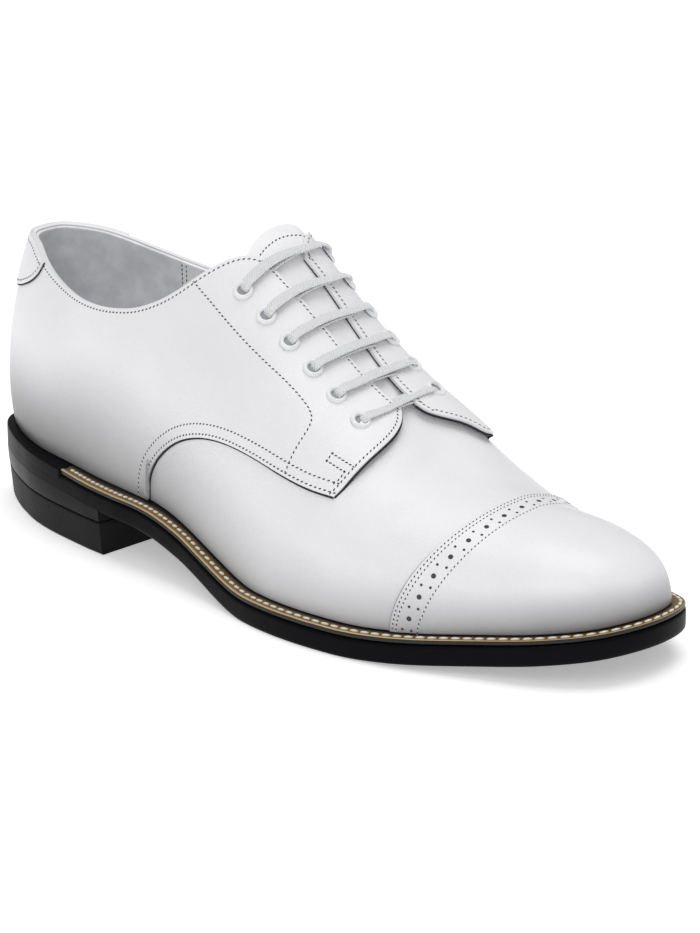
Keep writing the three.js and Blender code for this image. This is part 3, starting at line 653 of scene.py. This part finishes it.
outer_low = joined(smooth_way([(k, 0) for k in (0, 1, 2, 3, 4, 4.9)], soft=0), outer_seam)
outer_high = joined(outer_collar, outer_slit)
outer_back = smooth_way([(0, 0), (0, 0.3), (0, 0.57)], soft=0)
outer_patch = patch(outer_low, outer_high, outer_back, outer_front)
quarter_outer = make_piece(
    "quarter_outer", lasted(outer_patch, quarter_lift, (230, 96)), white_leather
)
leather_wall(quarter_outer, 1.4, 0.45)
inner_low = joined(smooth_way([(k, 2) for k in (0, 1, 2, 3, 4, 5.08)], soft=0), inner_seam)
inner_high = joined(inner_collar, inner_slit)
inner_back = smooth_way([(0, 2), (0, 1.7), (0, 1.43)], soft=0)
inner_patch = patch(inner_low, inner_high, inner_back, inner_front)
quarter_inner = make_piece(
    "quarter_inner", lasted(inner_patch, quarter_lift, (230, 96), turn=True), white_leather
)
leather_wall(quarter_inner, 1.4, 0.45)
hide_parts("upper")

def painted_shadow_line(name, way, lift, thick, finish):
    """A fine painted shadow: a dark line where a cut edge meets the leather under it."""
    data = bpy.data.curves.new(name, "CURVE")
    data.dimensions, data.bevel_depth, data.bevel_resolution = "3D", thick / 2000, 2
    data.materials.append(finish)
    line = data.splines.new("POLY")
    at = way_at(way, np.linspace(0, 1, 220))
    height = lift(at[:, 0], at[:, 1]) if callable(lift) else lift
    places = on_last(at[:, 0], at[:, 1], height)
    line.points.add(len(places) - 1)
    line.points.foreach_set("co", np.column_stack([places, np.ones(len(places))]).ravel())
    piece = bpy.data.objects.new(name, data)
    bpy.context.collection.objects.link(piece)
    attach(piece, "root")
    return piece


quarter_rows = []
for seam, side in ((outer_seam, 1), (inner_seam, -1)):
    for distance in (1.2, 4.7):
        quarter_rows += stitches(beside(seam, side * distance), quarter_lift)
for collar, side in ((outer_collar, -1), (inner_collar, 1)):
    quarter_rows += stitches(beside(collar, side * 1.45), quarter_lift)
quarter_rows += stitches(beside(outer_slit, -1.3), quarter_lift)
quarter_rows += stitches(beside(inner_slit, 1.9), quarter_lift)
quarter_rows += stitches(beside(outer_front, 1.5), quarter_lift)
quarter_rows += stitches(beside(inner_front, -1.5), quarter_lift)
stay_outer = smooth_way([
    (5.229, 0.459), (5.526, 0.453), (5.819, 0.454), (6.114, 0.462), (6.416, 0.478), (6.727, 0.498), (6.936, 0.506),
    (7.039, 0.507), (7.138, 0.505), (7.221, 0.494), (7.247, 0.466), (7.229, 0.432), (7.174, 0.368), (7.121, 0.29),
], soft=1.2)
quarter_rows += stitches(stay_outer, quarter_lift)
stay_inner = smooth_way([
    (5.35, 1.53), (5.7, 1.53), (6.1, 1.5), (6.6, 1.49), (7.1, 1.47), (7.3, 1.48), (7.36, 1.52),
    (7.34, 1.6), (7.3, 1.7),
], soft=2.0)
quarter_rows += stitches(stay_inner, quarter_lift)
for line in (
    [(7.66, 0.46), (7.99, 0.485)], [(7.63, 0.425), (7.9, 0.445)], [(7.66, 0.46), (7.63, 0.425)],
    [(7.9, 0.445), (7.87, 0.41), (7.82, 0.385)],
):
    quarter_rows += stitches(smooth_way(line, soft=0), quarter_lift, 1.5, 0.8)
lining_seam = smooth_way([(3.6, 1.63), (3.6, 1.7), (3.6, 1.8), (3.6, 1.9)], soft=0)
for distance in (0.0, 2.2):
    quarter_rows += stitches(beside(lining_seam, distance), -2.95)
quarter_bm = bmesh.new()
set_many(quarter_rows, quarter_bm)
quarter_stitching = make_piece("quarter_stitching", quarter_bm, thread_white, painted_stitch_hole_shade)
# The dark lines at the foot of the quarters', cap's and tab's cut edges are painted shadow, where the edges stand
# over the leather under them.
painted_shadow_finish = shader("painted_cut_shadow", (0.035, 0.036, 0.042), 0.8, 0.1)[0]
painted_shadow_line("outer_seam_shadow_line", beside(outer_seam, -0.3), -0.85, 0.7, painted_shadow_finish)
painted_shadow_line("inner_seam_shadow_line", beside(inner_seam, 0.3), -0.85, 0.7, painted_shadow_finish)
painted_shadow_line(
    "outer_front_shadow_line", beside(outer_front, -0.25), lambda u, t: quarter_lift(u, t) - 1.2, 0.85, painted_shadow_finish
)
painted_shadow_line("inner_front_shadow_line", beside(inner_front, 0.25), lambda u, t: quarter_lift(u, t) - 1.2, 0.8, painted_shadow_finish)
painted_shadow_line("outer_slit_shadow_line", beside(outer_slit, 0.1), lambda u, t: quarter_lift(u, t) - 1.3, 0.35, painted_shadow_finish)
painted_shadow_line("inner_slit_shadow_line", beside(inner_slit, -0.1), lambda u, t: quarter_lift(u, t) - 1.3, 0.35, painted_shadow_finish)

# Toe cap
# A second layer of the white leather over the toe, lapped over the vamp with a double row of
# stitches, then a band of punched holes and one more row in front of it.
cap_t = np.concatenate([np.linspace(0, 1, 260), np.linspace(1, 2, 261)[1:]])
cap_heights, cap_places = [5.9, 18.7, 26.9, 33.4, 39.5, 44.0, 51.9], [179.4, 181.2, 183.5, 186.1, 188.2, 189.2, 190.2]
cap_line = np.polyfit(cap_heights, cap_places, 3)
near_u, far_u = np.full(len(cap_t), 8.2), np.full(len(cap_t), 11.6)
for _ in range(40):
    middle = 0.5 * (near_u + far_u)
    place = skin(middle, cap_t)
    short = place[:, 0] < np.polyval(cap_line, place[:, 2])
    near_u, far_u = np.where(short, middle, near_u), np.where(short, far_u, middle)
cap_rear = even_way(np.stack([near_u, cap_t], 1))


def cap_place(a, b):
    rear = way_at(cap_rear, b)
    front = 2 * b
    t = rear[:, 1] + (front - rear[:, 1]) * np.clip(a * 1.3, 0, 1)
    return np.stack([rear[:, 0] + (last_row - rear[:, 0]) * a, t], 1)


cap_bm = lasted(cap_place, lambda u, t: 0.0, (110, 180), fold=True)
toe_cap = leather_wall(make_piece("punched_toe_cap", cap_bm, white_leather), 1.0, 0.4)
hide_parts("toe_cap")

# The punched holes are dark discs on the cap: painted shade for the depth of each hole.
painted_punch_shade = shader("painted_punch_hole_shade", (0.07, 0.072, 0.082), 0.9, 0.1)[0]
cap_rows = []
for distance in (-1.1, -2.4, -9.4):
    cap_rows += stitches(beside(cap_rear, distance), 0.0, 1.6, 0.8, 0.38, (0.8, 0.44))
band_middle, hole_pitch, large_hole, small_hole = beside(cap_rear, -6.0), 8.4, 1.75, 0.95
band_length = np.linalg.norm(np.diff(skin(band_middle[:, 0], band_middle[:, 1]), axis=0), axis=1).sum()
band_count = int(band_length / hole_pitch)


def set_on(u, t, lift):
    """A place on the leather, turned outwards."""
    at, side = np.array([u]), np.array([t])
    out, place = Vector(skin_out(at, side)[0]), Vector(on_last(at, side, lift)[0])
    return Matrix.Translation(place) @ out.to_track_quat("Z", "Y").to_matrix().to_4x4()


for k in range(2 * band_count + 1):
    share = (k + 0.5) / (2 * band_count + 1)
    for offset in ((0.0,) if k % 2 else (-1.5, 1.5)):
        u, t = way_at(beside(band_middle, offset), np.array([share]))[0]
        size = (large_hole if k % 2 else small_hole) / 1000
        cap_rows.append((dot, set_on(u, t, 0.06) @ Matrix.Diagonal((size, size, size, 1)), 2))
cap_bm = bmesh.new()
set_many(cap_rows, cap_bm)
cap_stitching = make_piece("toe_cap_stitching", cap_bm, thread_white, painted_stitch_hole_shade, painted_punch_shade)
painted_shadow_line("cap_shadow_line", beside(cap_rear, 0.12), -0.85, 0.3, painted_shadow_finish)

# Back tab
# A strip of the white leather over the seam behind the heel, with rounded lower corners and a row
# of stitches close to its edge.
tab_low = smooth_way([
    (-2.42, 0.49), (-2.36, 0.455), (-2.22, 0.43), (-2.0, 0.413), (-1.7, 0.403), (-1.3, 0.4),
    (-0.6, 0.4), (0, 0.4),
    (0.6, 0.4), (1.3, 0.4), (1.7, 0.403), (2.0, 0.413), (2.22, 0.43), (2.36, 0.455), (2.42, 0.49),
], soft=1.0)


def tab_place(a, b):
    low = way_at(tab_low, a)
    top = np.interp(low[:, 0], collar_u, collar_t)
    return np.stack([low[:, 0], low[:, 1] + (top - low[:, 1]) * b], 1)


tab_bm = lasted(tab_place, lambda u, t: 0.8, (130, 30))
back_tab = leather_wall(make_piece("back_tab_cover", tab_bm, white_leather), 0.75, 0.3)
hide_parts("back_tab")
tab_bm = bmesh.new()
tab_top = even_way(np.stack([tab_low[:, 0], np.interp(tab_low[:, 0], collar_u, collar_t)], 1))
tab_rows = stitches(way_at(beside(tab_low, 1.4), np.linspace(0.02, 0.98, 400)), 0.8)
tab_rows += stitches(way_at(beside(tab_top, -2.0), np.linspace(0.04, 0.96, 400)), 0.8)
set_many(tab_rows, tab_bm)
tab_stitching = make_piece("back_tab_stitching", tab_bm, thread_white, painted_stitch_hole_shade)
painted_shadow_line("tab_shadow_line", beside(tab_low, -0.25), 0.3, 0.5, painted_shadow_finish)

# Eyelets
# Twelve brass eyelets enamelled white, pressed through the facings. The rolled flange lies on the
# leather and the grey barrel shows inside it.
eyelet_enamel, enamel_tree, enamel_main = shader("white_enamel", (0.86, 0.865, 0.88), 0.3)
enamel_at = node(enamel_tree, "ShaderNodeTexCoord").outputs["Object"]
mottle(enamel_tree, enamel_main, enamel_at, (0.88, 0.885, 0.895), (0.83, 0.835, 0.85), 400)
# The barrel's own grey, used again as painted shade over the openings.
barrel_and_hole_shade = shader("grey_barrel_and_painted_hole_shade", (0.3, 0.31, 0.34), 0.5)[0]
outer_x = [heel_back + 130.7 + 10.7 * k for k in range(6)]
inner_x = [heel_back + 132.2 + 10.15 * k for k in range(6)]
outer_spread, inner_spread = [19.2] * 6, [17.9, 17.6, 17.4, 17.2, 17.0, 16.8]
eyelet_y = [slit_offset - spread for spread in outer_spread] + [slit_offset + spread for spread in inner_spread]
eyelet_places = last_place(np.array(outer_x + inner_x), np.array(eyelet_y))
ring_bm = bmesh.new()
ring_line = [
    (2.0, -2.6), (1.95, 0.1), (2.0, 0.55), (2.25, 0.95), (2.7, 1.15), (3.15, 1.0), (3.48, 0.55), (3.58, 0.05),
    (3.45, -0.12),
]
ring_points = [ring_bm.verts.new((r / 1000, 0, z / 1000)) for r, z in ring_line]
ring_edges = [ring_bm.edges.new(pair) for pair in zip(ring_points, ring_points[1:])]
bmesh.ops.spin(
    ring_bm, geom=ring_points + ring_edges, cent=(0, 0, 0), axis=(0, 0, 1), dvec=(0, 0, 0),
    angle=2 * math.pi, steps=28, use_merge=True,
)
bmesh.ops.recalc_face_normals(ring_bm, faces=ring_bm.faces)
for face in ring_bm.faces:
    if face.calc_center_median().z < 0.0001 and face.calc_center_median().xy.length < 0.0024:
        face.material_index = 1
ring = seed_mesh(ring_bm)
eyelet_bm, floor_bm = bmesh.new(), bmesh.new()
opening = Matrix.Diagonal((0.004, 0.004, 0.004, 1))
for u, t in eyelet_places:
    rise = facing_rise(np.array([u]), np.array([t]))
    set_many([(ring, set_on(u, t, rise + 0.02), 0)], eyelet_bm)
    # A grey disc lies over each opening: painted shade for the depth of the hole.
    set_many([(dot, set_on(u, t, rise + 0.1) @ opening, 0)], floor_bm)
eyelets = make_piece("eyelets", eyelet_bm, eyelet_enamel, barrel_and_hole_shade)
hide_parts(*[f"eyelet_{side}_{k}" for side in ("outer", "inner") for k in range(1, 7)])
painted_eyelet_hole_shade = make_piece("painted_shade_in_eyelets", floor_bm, barrel_and_hole_shade, smooth=False)

# Laces
# One flat woven cotton lace in six straight bars. Each bar comes up through an eyelet, lies flat
# across the slit and goes down through the eyelet on the other side; a hidden run shows under it.
lace_cotton, lace_tree, lace_main = shader("woven_cotton", (0.87, 0.875, 0.885), 0.85, 0.25)
weave_uv = node(lace_tree, "ShaderNodeUVMap", uv_map="weave").outputs["UV"]
weave_turn = node(lace_tree, "ShaderNodeMapping", Vector=weave_uv, Rotation=(0, 0, math.radians(45)))
weave_a, weave_b = (
    node(
        lace_tree, "ShaderNodeTexWave", Vector=weave_turn.outputs["Vector"], Scale=0.42, Distortion=0.6,
        wave_type="BANDS", bands_direction=way,
    ) for way in "XY"
)
weave_mix = node(lace_tree, "ShaderNodeMath", operation="MULTIPLY")
lace_tree.links.new(weave_a.outputs["Fac"], weave_mix.inputs[0])
lace_tree.links.new(weave_b.outputs["Fac"], weave_mix.inputs[1])
weave_bump = node(lace_tree, "ShaderNodeBump", Strength=0.9, Distance=0.0004, Height=weave_mix.outputs[0])
lace_tree.links.new(weave_bump.outputs["Normal"], lace_main.inputs["Normal"])
# The weave's tops are pale and its hollows dark: partly the lace's own fine speckle, partly painted shade in the
# hollows.
weave_tone_and_shade = node(lace_tree, "ShaderNodeValToRGB", Fac=weave_mix.outputs[0])
weave_tone_and_shade.color_ramp.elements[0].color = (0.82, 0.825, 0.84, 1)
weave_tone_and_shade.color_ramp.elements[1].color = (0.97, 0.972, 0.98, 1)
weave_tone_and_shade.color_ramp.elements[1].position = 0.45
lace_tree.links.new(weave_tone_and_shade.outputs["Color"], lace_main.inputs["Base Color"])


def lace_run(route, lengthwise=70, around=20):
    """A flat lace along a route of (x, y, height over the skin, width, thickness), in millimetres."""
    route = np.array(route, float)
    walk = np.linspace(0, 1, len(route))
    share = np.linspace(0, 1, lengthwise + 1)
    smooth = np.stack([np.interp(share, walk, route[:, k]) for k in range(5)], 1)
    for _ in range(3):
        smooth[1:-1] = 0.25 * smooth[:-2] + 0.5 * smooth[1:-1] + 0.25 * smooth[2:]
    uv = last_place(smooth[:, 0], smooth[:, 1])
    centre = on_last(uv[:, 0], uv[:, 1], smooth[:, 2]) * 1000
    run = np.gradient(centre, axis=0)
    length = np.concatenate([[0], np.cumsum(np.linalg.norm(np.diff(centre, axis=0), axis=1))])
    run /= np.linalg.norm(run, axis=1)[:, None]
    wide = np.array([1.0, 0, 0]) - run * run[:, :1]
    wide /= np.linalg.norm(wide, axis=1)[:, None]
    up = np.cross(run, wide)
    up *= np.sign((up * skin_out(uv[:, 0], uv[:, 1])).sum(1))[len(up) // 2]
    bm = bmesh.new()
    bmesh.ops.create_grid(bm, x_segments=lengthwise, y_segments=around, size=0.5)
    grid = np.array([vertex.co[:2] for vertex in bm.verts]) + 0.5
    k = np.rint(grid[:, 0] * lengthwise).astype(int)
    angle = 2 * math.pi * grid[:, 1]
    c, s = np.cos(angle), np.sin(angle)
    flat = np.sign(c) * np.abs(c) ** 0.6 * 0.5 * smooth[k, 3]
    high = np.sign(s) * np.abs(s) ** 0.55 * 0.5 * smooth[k, 4]
    points = (centre[k] + wide[k] * flat[:, None] + up[k] * high[:, None]) / 1000
    layer = bm.loops.layers.uv.new("weave")
    for face in bm.faces:
        for loop in face.loops:
            index = loop.vert.index
            loop[layer].uv = (length[k[index]], flat[index])
    for vertex, point in zip(bm.verts, points):
        vertex.co = point
    bmesh.ops.remove_doubles(bm, verts=bm.verts, dist=1e-6)
    bmesh.ops.holes_fill(bm, edges=[edge for edge in bm.edges if edge.is_boundary], sides=0)
    bmesh.ops.recalc_face_normals(bm, faces=bm.faces)
    return bm


bar_end = [(0.1, -1.6, 3.2, 1.5), (0.2, 0.2, 3.3, 1.5), (0.7, 1.5, 3.6, 1.4), (1.9, 2.45, 4.2, 1.25)]
bar_end += [(3.6, 2.45, 4.9, 1.15), (5.6, 2.0, 5.3, 1.1), (8, 1.75, 5.4, 1.1)]
for k, (near_x, far_x) in enumerate(zip(outer_x, inner_x)):
    outer, inner = outer_spread[k], inner_spread[k]
    route = [(near_x, slit_offset - outer + w, lift, width, thick) for w, lift, width, thick in bar_end]
    across = np.linspace(10 - outer, inner - 10, 12)
    route += [(np.interp(w, [-9, 7], [near_x, far_x]), slit_offset + w, 1.7, 5.7, 0.95) for w in across]
    route += [(far_x, slit_offset + inner - w, lift, width, thick) for w, lift, width, thick in bar_end[::-1]]
    bar = make_piece(f"lace_{k + 1}", lace_run(route), lace_cotton)
    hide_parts(f"lace_bar_{k + 1}")
    under_x = 0.5 * (near_x + far_x) + 0.4
    under = [(under_x, slit_offset + w, 0.62 - 0.009 * w * w, 5.2, 0.9) for w in np.linspace(-8, 8, 9)]
    strand = make_piece(f"lace_under_{k + 1}", lace_run(under, 24, 14), lace_cotton)

# Welt
# A strip of tan leather round the forefoot and the waist, sewn to the upper inside and to the
# outsole by a row of cream lockstitches that lie in a shallow channel near the upper.
welt_tan, tan_tree, tan_main = shader("tan_welt", (0.32, 0.18, 0.05), 0.42, 0.35)
tan_place = grain(tan_tree, tan_main, 1500, 0.25, 0.0003)
welt_uv = node(tan_tree, "ShaderNodeUVMap", uv_map="across").outputs["UV"]
welt_across = node(tan_tree, "ShaderNodeSeparateXYZ", Vector=welt_uv)
welt_shade = node(tan_tree, "ShaderNodeTexNoise", Vector=tan_place, Scale=180.0, Detail=4.0)
welt_blur = node(tan_tree, "ShaderNodeMath", operation="MULTIPLY_ADD")
tan_tree.links.new(welt_shade.outputs["Fac"], welt_blur.inputs[0])
welt_blur.inputs[1].default_value = 0.06
tan_tree.links.new(welt_across.outputs["Y"], welt_blur.inputs[2])
welt_ramp = node(tan_tree, "ShaderNodeValToRGB", Fac=welt_blur.outputs[0])
# Colours across the welt, from its outer side inwards: the black side, a pale gold line on the top corner that is a
# painted highlight, the gold band, the tan channel, then dark brown to black next to the upper, which is painted
# shade under the upper's edge.
welt_colour_light_stops = [
    (0.0, (0.008, 0.008, 0.009)), (0.09, (0.008, 0.008, 0.009)), (0.15, (0.62, 0.47, 0.27)),
    (0.22, (0.56, 0.38, 0.18)), (0.28, (0.20, 0.12, 0.034)), (0.6, (0.17, 0.10, 0.028)),
    (0.75, (0.07, 0.045, 0.018)), (0.9, (0.012, 0.011, 0.01)),
]
for _ in welt_colour_light_stops[2:]:
    welt_ramp.color_ramp.elements.new(0.5)
for stop, (place, colour) in zip(welt_ramp.color_ramp.elements, welt_colour_light_stops):
    stop.position, stop.color = place, (*colour, 1)
tan_tree.links.new(welt_ramp.outputs["Color"], tan_main.inputs["Base Color"])
welt_profile = [
    (13, 7.4, 0, 0), (1.0, 7.4, 0, 0), (0.5, 7.45, 0, 0), (0.3, 7.7, 0, 0), (0.3, 8.5, 0, 0.02),
    (0.36, 8.8, 0, 0.06), (0.52, 9.02, 0, 0.15), (0.9, 9.1, 0.15, 0.2), (1.3, 9.1, 0.6, 0.27),
    (1.9, 8.95, 1, 0.36), (2.5, 8.85, 1, 0.42), (3.1, 8.95, 1, 0.5), (3.5, 9.1, 1, 0.56),
    (4.2, 9.1, 0.5, 0.66), (5.5, 9.1, 0, 0.9), (13, 9.1, 0, 1), (13, 7.4, 0, 1),
]


def channel(v):
    """How far inside the sole's edge the stitches run: less at the toe than in the waist."""
    return np.interp(np.minimum(v, 26 - v), [3.67, 5.5, 8, 10.5, 13], [3.2, 3.0, 2.5, 1.95, 1.75])



# A row of the profile is the inset, the height, how far it follows the stitches, and its tone, a place on the ramp of
# colours and painted light above.
welt_bm = bmesh.new()
bmesh.ops.create_grid(welt_bm, x_segments=330, y_segments=len(welt_profile) - 1, size=0.5)
welt_grid = np.array([vertex.co[:2] for vertex in welt_bm.verts]) + 0.5
welt_v = 3.67 + (26 - 3.67 * 2) * welt_grid[:, 0]
welt_row = np.rint(welt_grid[:, 1] * (len(welt_profile) - 1)).astype(int)
welt_inset, welt_high, welt_follow, welt_colour_and_light = (np.array(welt_profile, float)[welt_row, k] for k in range(4))
welt_plan = sole_edge(welt_v, welt_inset + welt_follow * (channel(welt_v) - 2.5) - waist_flare(welt_v))
welt_z = layer(welt_plan[:, 0], welt_high)
welt_forward = np.clip((np.minimum(welt_v, 26 - welt_v) - 8.5) / 3, 0, 1)
welt_colour_and_light = welt_colour_and_light + 0.12 * welt_forward * ((welt_colour_and_light > 0.1) & (welt_colour_and_light < 0.25))
welt_layer = welt_bm.loops.layers.uv.new("across")
for face in welt_bm.faces:
    for loop in face.loops:
        loop[welt_layer].uv = (0.01 * welt_v[loop.vert.index], welt_colour_and_light[loop.vert.index])
for vertex, place in zip(welt_bm.verts, np.column_stack([welt_plan, welt_z]) / 1000):
    vertex.co = place
bmesh.ops.remove_doubles(welt_bm, verts=welt_bm.verts, dist=1e-6)
bmesh.ops.holes_fill(welt_bm, edges=[edge for edge in welt_bm.edges if edge.is_boundary], sides=0)
bmesh.ops.recalc_face_normals(welt_bm, faces=welt_bm.faces)
welt = make_piece("stitched_welt", welt_bm, welt_tan)
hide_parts("welt")
cream_thread = shader("cream_thread", (0.84, 0.80, 0.70), 0.7)[0]
welt_line = np.linspace(3.75, 26 - 3.75, 2000)
welt_way = sole_edge(welt_line, channel(welt_line) - waist_flare(welt_line))
welt_walk = np.concatenate([[0], np.cumsum(np.linalg.norm(np.diff(welt_way, axis=0), axis=1))])
welt_pitch = np.interp(np.minimum(welt_line, 26 - welt_line), [3.67, 5.5, 7.5, 13], [2.4, 2.6, 3.8, 4.1])
welt_turns = np.concatenate([[0], np.cumsum(np.diff(welt_walk) / welt_pitch[1:])])
welt_rows = []
for k in range(int(welt_turns[-1])):
    at = np.interp([k + 0.1, k + 0.5, k + 0.9], welt_turns, welt_line)
    pitch = np.interp(k, welt_turns, welt_pitch)
    plan = sole_edge(at, channel(at) - waist_flare(at))
    points = [Vector((p[0], p[1], layer(p[0], 9.1))) / 1000 for p in plan]
    run = (points[2] - points[0]).normalized()
    side = Vector((0, 0, 1)).cross(run).normalized()
    turn = Matrix((run, side, run.cross(side))).transposed().to_4x4()
    slant = Matrix.Rotation(math.radians(40 - 9 * pitch), 4, "Z")
    shape = Matrix.Diagonal((0.00094 * pitch, 0.00135, 0.001, 1))
    welt_rows.append((bead, Matrix.Translation(points[1]) @ turn @ slant @ shape, 0))
welt_stitch_bm = bmesh.new()
set_many(welt_rows, welt_stitch_bm)
welt_stitching = make_piece("welt_stitching", welt_stitch_bm, cream_thread)

# Outsole
# One thick piece of leather, its edge trimmed, waxed and polished black, flat under the ball and
# sprung at the toe. Behind the welt it reaches up to the upper as the heel seat.
black_edge, black_tree, black_main = shader("waxed_black_edge", (0.003, 0.003, 0.004), 0.4, 0.05)
grain(black_tree, black_main, 700, 0.12, 0.0003)
outsole_rows = [(7, 0, 0, k / 5) for k in range(5, 0, -1)]
outsole_rows += [(7, 0, 0, 0), (1.2, 0, 0, 0), (0.5, 0.15, 0, 0), (0.1, 0.7, 0, 0), (0, 1.6, 0, 0), (0, 5.8, 0, 0)]
outsole_rows += [(0.1, 6.6, 0, 0), (0.5, 7.05, 0, 0)] + [(1.2, 7.1, 0, k / 5) for k in range(6)]
outsole = make_piece("leather_outsole", sole_loft(outsole_rows), black_edge)
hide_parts("outsole")


def cut_slab(rows, length):
    """A slab cut across at its length from the heel's back and closed."""
    bm = sole_loft(rows)
    cut = Vector(((heel_back + length) / 1000, 0, 0))
    geometry = bm.verts[:] + bm.edges[:] + bm.faces[:]
    bmesh.ops.bisect_plane(bm, geom=geometry, plane_co=cut, plane_no=(1, 0, 0), clear_outer=True, dist=1e-7)
    bmesh.ops.holes_fill(bm, edges=[edge for edge in bm.edges if edge.is_boundary], sides=0)
    bmesh.ops.recalc_face_normals(bm, faces=bm.faces)
    return bm


seat_rows = [(0.6, 5.4, 0, 1), (0.6, 5.4, 0, 0.5), (0.6, 5.4, 0, 0), (-0.02, 5.42, 0, 0), (-0.02, 5.6, 0, 0)]
seat_rows += [(-0.02, 8.3, 0, 0), (0.02, 8.6, 0, 0), (0.2, 8.95, 0, 0), *[(0.7, 9.1, 0, k / 4) for k in range(5)]]
heel_seat = make_piece("heel_seat", cut_slab(seat_rows, 61.8), black_edge)

# Heel
# A stack of leather lifts under the seat, blackened and polished, over a thick rubber top piece.
# Both taper a little towards the floor, and the front face is cut straight across.
heel_length = 83.5
heel_stack, stack_tree, stack_main = shader("blackened_lifts", (0.004, 0.004, 0.005), 0.34, 0.07)
grain(stack_tree, stack_main, 600, 0.12, 0.0003)
base_rows = [(0.8, 12.3, 1, 1), (0.8, 12.3, 1, 0.5), (0.8, 12.3, 1, 0), (0.5, 12.5, 1, 0), (0.35, 12.9, 1, 0)]
base_rows += [(0.1, 16.0, 1, 0), (-0.02, 0.2, 0, 0), (-0.02, 1.4, 0, 0), (-0.02, 1.6, 0, 0)]
base_rows += [(0.6, 1.62, 0, 0), (0.6, 1.62, 0, 0.5), (0.6, 1.62, 0, 1)]
heel_base = make_piece("heel_lifts", cut_slab(base_rows, heel_length), heel_stack)
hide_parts("heel_base")
heel_rubber, rubber_tree, rubber_main = shader("black_rubber", (0.006, 0.006, 0.007), 0.5, 0.1)
grain(rubber_tree, rubber_main, 900, 0.2, 0.0003)
top_rows = [(2.2, 0, 1, 1), (2.2, 0, 1, 0.5), (2.2, 0, 1, 0), (1.7, 0.3, 1, 0), (1.55, 0.9, 1, 0), (0.6, 11.2, 1, 0)]
top_rows += [(0.7, 11.8, 1, 0), (1.1, 12.0, 1, 0), (1.1, 12.0, 1, 0.5), (1.1, 12.0, 1, 1)]
heel_top = make_piece("rubber_top_piece", cut_slab(top_rows, heel_length), heel_rubber)
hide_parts("heel_top_piece")

# Floor and light
# A plain white floor under an even white sky, with a large soft light above and behind the shoe and
# a weaker one before it.
floor_white, _, floor_main = shader("white_floor", (0.92, 0.92, 0.92), 0.9, 0.0)
floor_main.inputs["Emission Color"].default_value = (1, 1, 1, 1)
floor_main.inputs["Emission Strength"].default_value = 0.38
floor_bm = bmesh.new()
bmesh.ops.create_grid(floor_bm, x_segments=2, y_segments=2, size=40)
floor_mesh = bpy.data.meshes.new("floor")
floor_bm.to_mesh(floor_mesh)
floor_bm.free()
floor_mesh.materials.append(floor_white)
floor = bpy.data.objects.new("floor", floor_mesh)
bpy.context.collection.objects.link(floor)
world = bpy.data.worlds.new("studio")
world.use_nodes = True
world.node_tree.nodes["Background"].inputs["Color"].default_value = (1, 1, 1, 1)
world.node_tree.nodes["Background"].inputs["Strength"].default_value = 0.37
bpy.context.scene.world = world
bpy.context.scene.view_settings.view_transform = "Standard"
for name, come, spread, power in (
    ("above", (-0.1, 0.2, 0.97), 50, 1.45), ("before", (0.35, -0.65, 0.65), 45, 0.7),
):
    data = bpy.data.lights.new(name, "SUN")
    data.angle, data.energy = math.radians(spread), power
    light = bpy.data.objects.new(name, data)
    light.rotation_euler = Vector(come).to_track_quat("Z", "Y").to_euler()
    bpy.context.collection.objects.link(light)
